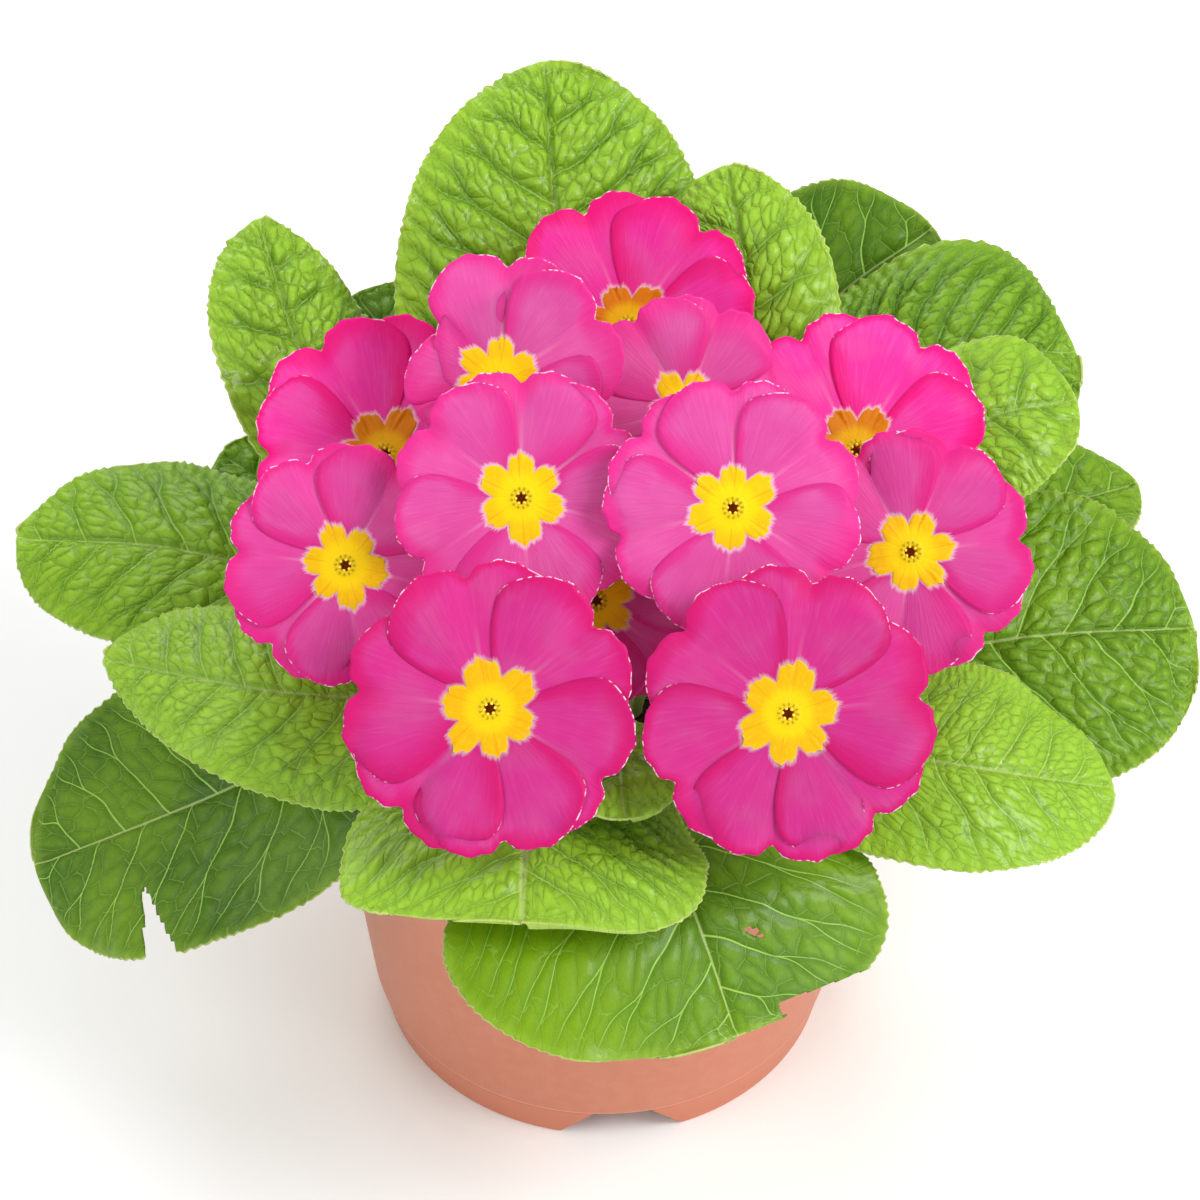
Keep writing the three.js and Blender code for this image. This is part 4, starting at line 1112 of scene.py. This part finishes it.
def make_eye(bloom, number, settings):
    """The star on the petals and the tube behind it, as one closed skin, with the anthers."""
    lap = settings.lap / MM
    turn = np.linspace(0, 2 * math.pi, 121)
    reach = star_reach(bloom, number, turn)
    reach[-1] = reach[0]
    rings = []
    for radius, z in TUBE_RINGS:
        rings.append((np.full_like(turn, radius), np.full_like(turn, z)))
    for share in STAR_BELOW:
        radius = TUBE_RADIUS + (reach - TUBE_RADIUS) * share
        rings.append((radius, star_height(bloom, number, radius, turn, lap) - 0.06 - 0.14 * (1 - share)))
    for share in STAR_ABOVE:
        radius = TUBE_RADIUS + (reach - TUBE_RADIUS) * share
        lift = 0.12 + 0.12 * math.sin(math.pi * share) + (0.3 * (1 - share) ** 3)
        rounding = min(1, 12 * (1 - share) + 0.2)
        rings.append((radius, star_height(bloom, number, radius, turn, lap) + lift * rounding))
    middle = float(np.mean(rings[-1][1]))
    for radius, z in THROAT_RINGS:
        rings.append((np.full_like(turn, radius), np.full_like(turn, middle + z)))
    radius = np.array([ring[0] for ring in rings])
    z = np.array([ring[1] for ring in rings])
    x, y = radius * np.cos(turn), radius * np.sin(turn)
    name = f"primrose_bloom_{number + 1:02d}_eye"
    star = grid(name, np.stack([x, y, z], -1))
    attribute(star, "star", np.stack([radius, radius / reach[None, :], z - middle], -1))
    attribute(star, "bloom", np.stack([x, y, np.full_like(x, number)], -1))
    close(star)
    pieces = [star]
    for k in range(PETALS):
        spot = polar(60 * k + 30, 0.98, middle - 0.12)
        anther = added(bpy.ops.mesh.primitive_uv_sphere_add, segments=8, ring_count=6, radius=0.3 * MM)
        write_points(anther, read_points(anther) * (1, 1, 1.4) + spot)
        attribute_all(anther, "star", 1.5, 0.15, 5.0)
        attribute_all(anther, "bloom", *spot[:2], number)
        pieces.append(anther)
    whole = join(name, pieces)
    attribute_all(whole, "hue", bloom["brown"], 0, 0)
    move_to_bloom(whole, bloom)
    return whole


def star_height(bloom, number, radius, turn, lap):
    """Height of the petals under points of the star."""
    return petals_top(bloom, number, radius * np.cos(turn), radius * np.sin(turn), lap)


def move_to_bloom(piece, bloom):
    """Carries a piece made in a bloom's own frame to its place on the plant."""
    write_points(piece, to_world(bloom, read_points(piece)))


def make_calyx():
    """A green cup with five ribs that end in pointed teeth, in a bloom's own frame."""
    columns = 61
    turn = np.linspace(0, 2 * math.pi, columns)
    peak = 0.5 + 0.5 * np.cos(TEETH * turn)
    sharp = np.abs(np.abs((TEETH * turn / (2 * math.pi)) % 1 - 0.5) * 2) ** 1.3
    foot = -CALYX["top"] - CALYX["length"]
    rim = -CALYX["top"] - CALYX["tooth"]
    rings = [(0.0, foot - 0.8, 0, 0), (0.9, foot - 0.8, 0, 0), (1.9, foot - 0.1, 0.3, 0),
             (2.6, foot + 1.4, 0.8, 0), (3.1, foot + 4.0, 1, 0), (3.4, foot + 6.5, 1, 0),
             (3.65, rim - 1.2, 0.8, 0), (3.8, rim, 0.4, 0.5), (3.95, rim + 0.2, 0.2, 1.0),
             (3.55, rim + 0.2, 0.2, 1.0), (3.35, rim, 0.4, 0.5), (3.1, rim - 1.2, 0.8, 0),
             (2.6, foot + 4.0, 1, 0), (0.0, foot + 3.0, 0, 0)]
    rows = []
    for radius, z, rib, tooth in rings:
        r = radius + CALYX["rib"] * rib * (peak - 0.5) * 1.6 * (radius > 0)
        rows.append(np.stack([r * np.cos(turn), r * np.sin(turn), z + tooth * CALYX["tooth"] * sharp], -1))
    cup = grid("calyx", np.array(rows))
    ribs = np.tile(peak, (len(rings), 1))
    attribute(cup, "rib", np.stack([ribs, np.zeros_like(ribs), np.zeros_like(ribs)], -1))
    close(cup)
    modify(cup, "SUBSURF", levels=1, render_levels=1)
    return cup


def make_stalk(bloom, number, cup):
    """The stalk rises from the soil and turns into the back of the calyx."""
    neck = CALYX["top"] + CALYX["length"] - 0.6
    foot = polar(*bloom["foot"], CROWN["stem_foot"])
    behind, end = to_world(bloom, np.array([[0, 0, -(neck + STALK["nod"])], [0, 0, -neck]]))
    curve = added(bpy.ops.curve.primitive_bezier_curve_add)
    first, last = curve.data.splines[0].bezier_points
    for point in (first, last):
        point.handle_left_type = point.handle_right_type = "FREE"
    first.co = first.handle_left = foot * MM
    first.handle_right = (foot + (0, 0, STALK["rise"])) * MM
    last.co = last.handle_right = end * MM
    last.handle_left = behind * MM
    curve.data.resolution_u = 28
    curve.data.bevel_depth = STALK["radius"] * MM
    curve.data.bevel_resolution = 4
    curve.data.use_fill_caps = True
    only(curve)
    bpy.ops.object.convert(target="MESH")
    stem = bpy.context.object
    attribute_all(stem, "rib", 0.5, 0.0, 1.0)
    only(cup)
    bpy.ops.object.duplicate()
    own = bpy.context.object
    move_to_bloom(own, bloom)
    whole = join("green", [stem, own])
    hairs = make_hairs(whole, STALK["hairs"], STALK["hair"], number)
    return join(f"primrose_bloom_{number + 1:02d}_stalk", [whole, hairs])


def make_hairs(piece, count, length, seed):
    """Short three-sided hairs that stand on a piece's faces, as one mesh."""
    draw = np.random.default_rng(100 + seed)
    mesh = piece.data
    areas = np.empty(len(mesh.polygons), np.float32)
    mesh.polygons.foreach_get("area", areas)
    centres = read_rows(mesh.polygons, "center") / MM
    normals = read_rows(mesh.polygons, "normal")
    high = centres[:, 2] > SOIL_BOX[1][2] + 3
    weights = areas * high
    picked = draw.choice(len(areas), count, p=weights / weights.sum())
    points, faces = [], []
    for k, face in enumerate(picked):
        out = unit(normals[face] + draw.normal(0, 0.25, 3))
        side = unit(np.cross(out, (0.3, 0.5, 0.8)))
        other = np.cross(out, side)
        root = centres[face] - out * 0.1 + draw.normal(0, 0.1, 3)
        for corner in range(3):
            angle = 2 * math.pi * corner / 3
            points.append(root + 0.05 * (side * math.cos(angle) + other * math.sin(angle)))
        points.append(root + out * length * draw.uniform(0.6, 1.2))
        a = 4 * k
        faces += [(a, a + 1, a + 3), (a + 1, a + 2, a + 3), (a + 2, a, a + 3), (a + 2, a + 1, a)]
    made = bpy.data.meshes.new("hairs")
    made.from_pydata([tuple(p * MM) for p in points], [], faces)
    hairs = bpy.data.objects.new("hairs", made)
    bpy.context.scene.collection.objects.link(hairs)
    attribute_all(hairs, "rib", 1.0, 0.0, 2.0)
    return hairs


def petal_material(settings):
    """Pink petals with deeper rims, fine rays, a broken white margin and a pale halo at the eye, each bloom
    darkened by its shade, partly as painted shade.
    """

    def paint(tree):
        x, y, seed = split(tree, stored(tree, "bloom"))
        c, p, rim = split(tree, stored(tree, "petal"))
        blush, past, shade = split(tree, stored(tree, "hue"))
        reach = (x * x + y * y).math("SQRT")
        turn = y.math("ARCTAN2", x)
        rays = cloud(tree, combine(tree, turn * 26 + c * 3, reach * 0.12, seed * 3), 1.0, detail=4.0,
                     roughness=0.6)
        broad = cloud(tree, combine(tree, x, y, seed * 5), 0.12, detail=2.0)
        jag = cloud(tree, combine(tree, turn * 30, reach * 0.3, seed), 1.0, detail=2.0)
        base = mix(tree, blush, tuple(settings.petal), srgb(250, 40, 160))
        rim_paint = mix(tree, blush, tuple(settings.rim), srgb(244, 0, 124))
        edge = rim + (jag - 0.5) * 1.2
        wander = cloud(tree, combine(tree, x, y, seed * 3), 0.07, detail=1.0)
        deep = edge.fade(0.3, 1.6 + wander.ramp(0.35, 0.65) * 5) * (0.7 + blush * 0.3)
        base = layers(
            tree, base,
            (broad.ramp(0.4, 0.75) * 0.3, srgb(224, 112, 172)),
            (rays.ramp(0.5, 0.78) * 0.14, srgb(236, 150, 196)),
            (rays.fade(0.28, 0.5) * 0.16, srgb(200, 20, 116)),
            (deep, rim_paint),
        )
        halo = (past + (jag - 0.5) * 1.4).fade(0.0, 1.0)
        base = mix(tree, halo * 0.75, base, srgb(250, 206, 224))
        crease = abs(c).fade(0.0, 0.05) * p.fade(0.1, 0.75)
        base = mix(tree, crease * 0.3, base, srgb(246, 190, 216))
        dash = cloud(tree, combine(tree, x, y, seed), 1.0, detail=1.0)
        stretch = cloud(tree, combine(tree, x, y, seed * 2), 0.11, detail=1.0)
        white = rim.fade(0.08, 0.24) * dash.ramp(0.47, 0.55) * stretch.ramp(0.46, 0.54) * p.ramp(0.55, 0.8)
        base = layers(
            tree, base,
            # Painted shade: each bloom's petals darkened by its shade value, partly a deeper colour and
            # partly for how much light reaches the bloom.
            (1 - shade, (0.0, 0.0, 0.0)),
            (white * 0.85, srgb(250, 226, 238)),
        )
        fine = cloud(tree, combine(tree, turn * 60, reach * 0.3, seed), 1.0, detail=3.0)
        dull = 0.52 + (fine - 0.5) * 0.2
        return {"Base Color": base, "Roughness": dull,
                "Normal": bump(tree, rays * 0.6 + fine * 0.4, 0.3 * MM, 0.5)}

    return finish_material(
        "Petal", paint, Subsurface_Weight=0.3, Subsurface_Radius=(1.0, 0.5, 0.8), Subsurface_Scale=1.5 * MM,
        IOR=1.4, Specular_IOR_Level=0.25, Sheen_Weight=0.04, Sheen_Roughness=0.5)


def eye_material(settings):
    """Orange-yellow star, brighter in the middle, with painted shade down each lobe's crease, an olive throat
    with dark marks and a brown hole.
    """

    def paint(tree):
        r, share, depth = split(tree, stored(tree, "star"))
        x, y, seed = split(tree, stored(tree, "bloom"))
        brown, _, _ = split(tree, stored(tree, "hue"))
        turn = y.math("ARCTAN2", x)
        grain = cloud(tree, combine(tree, turn * 12, r * 0.8, seed), 1.0, detail=3.0)
        lobe = mix(tree, brown, tuple(settings.eye), srgb(204, 112, 0))
        base = mix(tree, r.ramp(3.2, 5.4), mix(tree, brown * 0.8, srgb(246, 208, 0), srgb(214, 150, 0)), lobe)
        base = mix(tree, grain.ramp(0.45, 0.7) * 0.35 * (1 - brown), base, srgb(248, 206, 4))
        # Painted shade: a darker orange line down the middle crease of each lobe, on its outer part.
        crease_shade = abs((turn * (6 / (2 * math.pi)) + 0.5).fraction() - 0.5)
        base = layers(
            tree, base,
            (crease_shade.fade(0.0, 0.04) * share.ramp(0.3, 0.6) * 0.4, srgb(226, 130, 0)),
            (share.ramp(0.96, 1.0) * 0.2, srgb(255, 232, 150)),
        )
        marks = (turn * 12).sine().ramp(0.1, 0.6)
        ring = r.fade(1.75, 2.1) * r.ramp(1.2, 1.5)
        base = layers(
            tree, base,
            (ring * 0.7, srgb(206, 186, 12)),
            (ring * marks * 0.55, srgb(112, 90, 8)),
        )
        hole = r.fade(0.85, 1.05)
        base = mix(tree, hole, base, srgb(170, 84, 24))
        tube = depth.fade(-4.5, -3.0)
        base = mix(tree, tube, base, srgb(214, 214, 120))
        anther = depth.ramp(3.0, 4.0)
        base = mix(tree, anther, base, srgb(246, 226, 90))
        return {"Base Color": base, "Roughness": 0.5 + (grain - 0.5) * 0.2,
                "Normal": bump(tree, grain, 0.2 * MM, 0.4)}

    return finish_material("Eye", paint, Subsurface_Weight=0.1, Subsurface_Radius=(1.0, 0.7, 0.1),
                           Subsurface_Scale=MM, Specular_IOR_Level=0.15)


def stalk_material():
    """Pale green, downy stalk with a ribbed calyx, paler on its ribs."""

    def paint(tree):
        # kind is 0 on the calyx, 1 on the stalk and 2 on its hairs.
        rib, _, kind = split(tree, stored(tree, "rib"))
        place = object_place(tree)
        grain = cloud(tree, place, 1.6, detail=3.0)
        base = mix(tree, rib.ramp(0.3, 0.9), srgb(132, 166, 62), srgb(188, 206, 112))
        base = layers(
            tree, base,
            (grain.ramp(0.4, 0.7) * 0.4, srgb(150, 176, 84)),
            (kind.ramp(0.2, 0.8) * kind.fade(1.2, 1.8), srgb(176, 196, 120)),
            (kind.ramp(1.4, 1.8), srgb(226, 232, 200)),
        )
        return {"Base Color": base, "Roughness": 0.6 + (grain - 0.5) * 0.2,
                "Normal": bump(tree, grain, 0.3 * MM, 0.4)}

    return finish_material("Stalk", paint, Subsurface_Weight=0.1, Subsurface_Radius=(0.8, 1.0, 0.3),
                           Subsurface_Scale=MM)


class PRIMROSE_OT_petals(bpy.types.Operator):
    """Make each bloom's six lapping petals"""

    bl_idname = "primrose.petals"
    bl_label = "Petals"

    def execute(self, context):
        settings = context.scene.primrose_blooms
        material = petal_material(settings)
        for number, bloom in enumerate(all_blooms()):
            piece = make_petals(bloom, number, settings)
            hand_over(piece, f"bloom_{number + 1:02d}_petals", material)
        return {"FINISHED"}


class PRIMROSE_OT_eyes(bpy.types.Operator):
    """Make each bloom's yellow star, throat and tube"""

    bl_idname = "primrose.eyes"
    bl_label = "Eyes"

    def execute(self, context):
        settings = context.scene.primrose_blooms
        material = eye_material(settings)
        for number, bloom in enumerate(all_blooms()):
            piece = make_eye(bloom, number, settings)
            hand_over(piece, f"bloom_{number + 1:02d}_eye", material, angle=60)
        return {"FINISHED"}


class PRIMROSE_OT_stalks(bpy.types.Operator):
    """Make each bloom's downy stalk and ribbed calyx"""

    bl_idname = "primrose.stalks"
    bl_label = "Stalks"

    def execute(self, context):
        material = stalk_material()
        cup = make_calyx()
        for number, bloom in enumerate(all_blooms()):
            piece = make_stalk(bloom, number, cup)
            hand_over(piece, f"bloom_{number + 1:02d}_stalk", material, angle=60)
        bpy.data.objects.remove(cup)
        return {"FINISHED"}


# ------------------------------------------------------------------ pot and soil
POT = {"foot": 44.0, "foot_height": 9.5, "wall_foot": 46.0, "wall_top": 52.0, "collar": 55.0,
       "collar_height": 11.0, "wall": 1.6, "floor": 2.2, "base_rise": 9.3,
       "notch_turn": -85, "notch_half": 5.5, "notch_slope": 6.7, "notch_height": 8.8,
       "notch_depth": 13.0, "drain_radius": 3.5, "drain_ring": 26.0,
       "drain_turn": -30, "openings": 3}
SOIL = {"top": 74.0, "gap": 0.3, "rings": 62, "steps": 160}


def lathe(name, profile, steps):
    """A closed body spun from a profile that starts and ends on the axis."""
    piece = added(bpy.ops.mesh.primitive_circle_add, vertices=len(profile), radius=MM)
    piece.name = name
    write_points(piece, [(r, 0, z) for r, z in profile])
    edit(piece, (bpy.ops.mesh.spin, {"steps": steps, "angle": 2 * math.pi,
                                     "center": (0, 0, 0), "axis": (0, 0, 1)}))
    close(piece)
    return piece


def pot_profile():
    """The pot's outline from the axis under its floor to the axis above it."""
    height = POT_BOX[1][2]
    collar_foot = height - POT["collar_height"]
    inner_foot = POT["wall_foot"] - POT["wall"]
    top = POT["base_rise"] + POT["floor"]
    lip = 0.45
    return [
        (0, POT["base_rise"]),
        (POT["foot"] - 3.9, POT["base_rise"]),
        (POT["foot"] - 3.4, POT["base_rise"] - 0.5),
        (POT["foot"] - 2.5, 0.3),
        (POT["foot"] - 2.2, 0),
        (POT["foot"] - 0.4, 0),
        (POT["foot"], 0.4),
        (POT["foot"] + 1.5, POT["foot_height"] - 1.6),
        (POT["foot"] + 1.6, POT["foot_height"] - 1.2),
        (POT["wall_foot"] - 0.45, POT["foot_height"] - 0.85),
        (POT["wall_foot"] - 0.12, POT["foot_height"] - 0.5),
        (POT["wall_foot"], POT["foot_height"]),
        (POT["wall_foot"] + 3, POT["foot_height"] + (collar_foot - POT["foot_height"]) / 2),
        (POT["wall_top"] - 0.15, collar_foot - 1.5),
        (POT["wall_top"] + 0.2, collar_foot - 0.3),
        (POT["collar"] - 1.0, collar_foot + 0.35),
        (POT["collar"] - 0.6, collar_foot + 0.8),
        (POT["collar"] - lip / 3, height - lip),
        (POT["collar"] - lip, height),
        (POT["collar"] - POT["wall"] + lip, height),
        (POT["collar"] - POT["wall"], height - lip),
        (POT["wall_top"] - POT["wall"], collar_foot + 1),
        (inner_foot, top + 4),
        (inner_foot - 4, top),
        (0, top),
    ]


def notch_cutter(turn):
    """A wedge with sloping ends that opens the foot ring."""
    cutter = added(bpy.ops.mesh.primitive_cube_add, size=2 * MM)
    corners = read_points(cutter)
    half = POT["notch_half"]
    outer = POT["foot"] + 5
    x = corners[:, 0] * np.where(corners[:, 2] > 0, half, half + POT["notch_slope"] + 0.8)
    y = np.where(corners[:, 1] > 0, outer, outer - POT["notch_depth"])
    z = np.where(corners[:, 2] > 0, POT["notch_height"], -1)
    angle = math.radians(turn - 90)
    points = np.column_stack([
        x * math.cos(angle) - y * math.sin(angle),
        x * math.sin(angle) + y * math.cos(angle),
        z,
    ])
    write_points(cutter, points)
    return cutter


def cut(piece, cutter):
    """Takes a cutter out of a piece."""
    modify(piece, "BOOLEAN", operation="DIFFERENCE", solver="EXACT", object=cutter)
    bpy.data.objects.remove(cutter)


def pot_material(settings):
    """Satin moulded plastic with a faint mottle, fine rings from the mould and dusty scuffs, painted shade on
    the foot ring and a painted highlight along the step above it.
    """

    def paint(tree):
        place = object_place(tree)
        z = split(tree, place)[2]
        mottle = cloud(tree, place, 0.35, detail=4.0)
        speck = cloud(tree, place, 3.0, detail=3.0, roughness=0.7)
        base = mix(tree, mottle.ramp(0.35, 0.7) * 0.25, tuple(settings.colour), srgb(214, 146, 122))
        base = mix(tree, speck.ramp(0.62, 0.75) * 0.18, base, srgb(232, 186, 168))
        # Painted shade: the foot ring below the wall's step darker and deeper red, as where it faces down out
        # of the light.
        foot = z.fade(POT["foot_height"] - 0.9, POT["foot_height"] - 0.6)
        base = mix(tree, foot * 0.6, base, srgb(202, 116, 84))
        # Painted highlight: a lighter line along the rounded step where the wall meets the foot ring.
        lip = abs(z - (POT["foot_height"] - 0.5)).fade(0.25, 0.6)
        base = mix(tree, lip * 0.35, base, srgb(232, 170, 146))
        rings = (z * 9 + mottle * 2).sine()
        return {"Base Color": base, "Roughness": 0.46 + (mottle - 0.5) * 0.25 + speck * 0.05,
                "Normal": bump(tree, rings * 0.15 + speck * 0.6, 0.06 * MM, 0.5)}

    return finish_material("Moulded plastic", paint, Subsurface_Weight=0.08,
                           Subsurface_Radius=(1.0, 0.5, 0.3), Subsurface_Scale=MM)


def make_soil():
    """Soil that fills the pot, with a mounded, lumpy, crumbly top."""
    bottom, top = SOIL_BOX[0][2], SOIL["top"]
    inner_foot = POT["wall_foot"] - POT["wall"] - SOIL["gap"]
    inner_top = POT["wall_top"] - POT["wall"] - SOIL["gap"]
    shelf = POT_BOX[1][2] - POT["collar_height"] + 0.5
    profile = [(0, bottom), (inner_foot - 4.3, bottom), (inner_foot, bottom + 4.2), (inner_top, shelf)]
    rings = SOIL["rings"]
    profile += [((inner_top - 0.4) * (1 - k / rings), top) for k in range(rings + 1)]
    piece = lathe("primrose_soil", profile, SOIL["steps"])
    points = read_points(piece)
    for k, (x, y, z) in enumerate(points):
        if z > top - 0.5:
            share = math.hypot(x, y) / inner_top
            mound = 3 * share * (1 - share)
            waves = math.sin(0.31 * x + 1.3 * math.sin(0.17 * y)) + math.cos(0.27 * y + 0.6 + 0.11 * x)
            crumb = 2.2 * noise.fractal((x * 0.35, y * 0.35, 3.0), 0.8, 2.0, 4)
            edge = min(1.0, (1 - share) * 12)
            points[k, 2] = top + mound + (0.9 * waves + crumb) * (0.3 + 0.7 * edge)
    write_points(piece, points)
    return piece


def soil_material():
    """Dark peat with brown fibres and pale grains."""

    def paint(tree):
        place = object_place(tree)
        lump = cloud(tree, place, 0.5, detail=5.0, roughness=0.65)
        fibre = cloud(tree, place, 1.4, detail=4.0, distortion=1.5)
        grit = cells(tree, place, scale=0.45, feature="F1", dimensions="3D")
        base = mix(tree, lump.ramp(0.3, 0.7), srgb(26, 17, 11), srgb(72, 50, 34))
        base = layers(
            tree, base,
            (fibre.ramp(0.58, 0.7) * 0.6, srgb(112, 82, 56)),
            (grit.fade(0.08, 0.14) * 0.6, srgb(196, 186, 168)),
        )
        return {"Base Color": base, "Roughness": 0.9 + (lump - 0.5) * 0.1,
                "Normal": bump(tree, lump + fibre * 0.4, 0.8 * MM, 0.8)}

    return finish_material("Peat", paint)


class PRIMROSE_OT_pot(bpy.types.Operator):
    """Make the pot with its foot notches and drain holes"""

    bl_idname = "primrose.pot"
    bl_label = "Pot"

    def execute(self, context):
        settings = context.scene.primrose_pot
        piece = lathe("primrose_pot", pot_profile(), settings.steps)
        for k in range(POT["openings"]):
            turn = 360 * k / POT["openings"]
            cut(piece, notch_cutter(POT["notch_turn"] + turn))
            drill = added(bpy.ops.mesh.primitive_cylinder_add, vertices=32, depth=20 * MM,
                          radius=POT["drain_radius"] * MM)
            centre = polar(POT["drain_turn"] + turn, POT["drain_ring"], POT["base_rise"])
            write_points(drill, read_points(drill) + centre)
            cut(piece, drill)
        hand_over(piece, "pot", pot_material(settings), angle=32)
        return {"FINISHED"}


class PRIMROSE_OT_soil(bpy.types.Operator):
    """Make the crumbly soil that fills the pot"""

    bl_idname = "primrose.soil"
    bl_label = "Soil"

    def execute(self, context):
        piece = make_soil()
        hand_over(piece, "soil", soil_material(), angle=50)
        return {"FINISHED"}


# ------------------------------------------------------------------ stage
CAMERA = {"place": (-0.0004, -0.5142, 0.6128), "pitch": 45.25, "lens": 117.87, "sensor": 36.0}
# Softboxes: place, what they point at, size, and power in watts.
LAMPS = {
    "key": ((0.75, -0.35, 0.95), (0.0, 0.0, 0.08), 0.55, 8.7),
    "back": ((-0.25, 0.85, 0.9), (0.0, 0.0, 0.1), 0.7, 5.5),
    "fill": ((-0.8, -0.45, 0.8), (0.0, 0.0, 0.08), 0.9, 4.2),
    "side": ((0.7, -0.6, 0.3), (0.0, 0.0, 0.04), 0.4, 1.5),
}
SURROUND = 0.57
PAPER = (0.95, 0.96, 0.96, 1)


def aim(piece, target):
    """Turns a lamp so that it looks at a point."""
    direction = np.array(target) - np.array(piece.location)
    level = math.hypot(direction[0], direction[1])
    tilt = math.atan2(level, -direction[2])
    heading = math.atan2(direction[1], direction[0]) - math.pi / 2
    piece.rotation_euler = (tilt, 0, heading)


class PRIMROSE_OT_stage(bpy.types.Operator):
    """Set up the pale floor, the softboxes, the bright surround and the camera"""

    bl_idname = "primrose.stage"
    bl_label = "Stage"

    def execute(self, context):
        scene = context.scene
        floor = added(bpy.ops.mesh.primitive_plane_add, size=12)
        floor.name = "floor"
        floor.data.materials.append(finish_material(
            "Paper", lambda tree: {"Roughness": 0.8 + cloud(tree, object_place(tree), 0.02) * 0.1},
            Base_Color=PAPER, Specular_IOR_Level=0.2))
        for name, (place, target, size, power) in LAMPS.items():
            lamp = added(bpy.ops.object.light_add, type="AREA", location=place)
            lamp.name = name
            lamp.data.shape = "DISK"
            lamp.data.size = size
            lamp.data.energy = power
            aim(lamp, target)
        world = bpy.data.worlds.new("Surround")
        scene.world = world
        world.use_nodes = True
        background = world.node_tree.nodes["Background"]
        background.inputs["Color"].default_value = (1.0, 1.0, 1.0, 1)
        background.inputs["Strength"].default_value = SURROUND
        camera = added(bpy.ops.object.camera_add, location=CAMERA["place"],
                       rotation=(math.radians(CAMERA["pitch"]), 0, 0))
        camera.data.lens = CAMERA["lens"]
        camera.data.sensor_width = CAMERA["sensor"]
        camera.data.clip_end = 20
        scene.camera = camera
        scene.view_settings.view_transform = "Standard"
        return {"FINISHED"}


# ------------------------------------------------------------------ panel and registration
class PRIMROSE_PT_panel(bpy.types.Panel):
    """Builds the primrose piece by piece"""

    bl_idname = "PRIMROSE_PT_panel"
    bl_label = "Primrose"
    bl_space_type = "VIEW_3D"
    bl_region_type = "UI"
    bl_category = "Primrose"

    def draw(self, context):
        for settings in (context.scene.primrose_leaves, context.scene.primrose_blooms,
                         context.scene.primrose_pot):
            for name in settings.bl_rna.properties.keys():
                if name not in ("rna_type", "name"):
                    self.layout.prop(settings, name)
        for operator in OPERATORS:
            self.layout.operator(operator.bl_idname)


OPERATORS = (PRIMROSE_OT_stage, PRIMROSE_OT_pot, PRIMROSE_OT_soil, PRIMROSE_OT_leaves,
             PRIMROSE_OT_petals, PRIMROSE_OT_eyes, PRIMROSE_OT_stalks)
SETTINGS = {"primrose_leaves": LeafSettings, "primrose_blooms": BloomSettings,
            "primrose_pot": PotSettings}
CLASSES = (*SETTINGS.values(), *OPERATORS, PRIMROSE_PT_panel)


def register():
    for made in CLASSES:
        bpy.utils.register_class(made)
    for name, settings in SETTINGS.items():
        setattr(bpy.types.Scene, name, bpy.props.PointerProperty(type=settings))


def unregister():
    for name in SETTINGS:
        delattr(bpy.types.Scene, name)
    for made in reversed(CLASSES):
        bpy.utils.unregister_class(made)


def main():
    register()
    for operator in ("stage", "pot", "soil", "leaves", "petals", "eyes", "stalks"):
        getattr(bpy.ops.primrose, operator)()


if __name__ == "__main__":
    main()
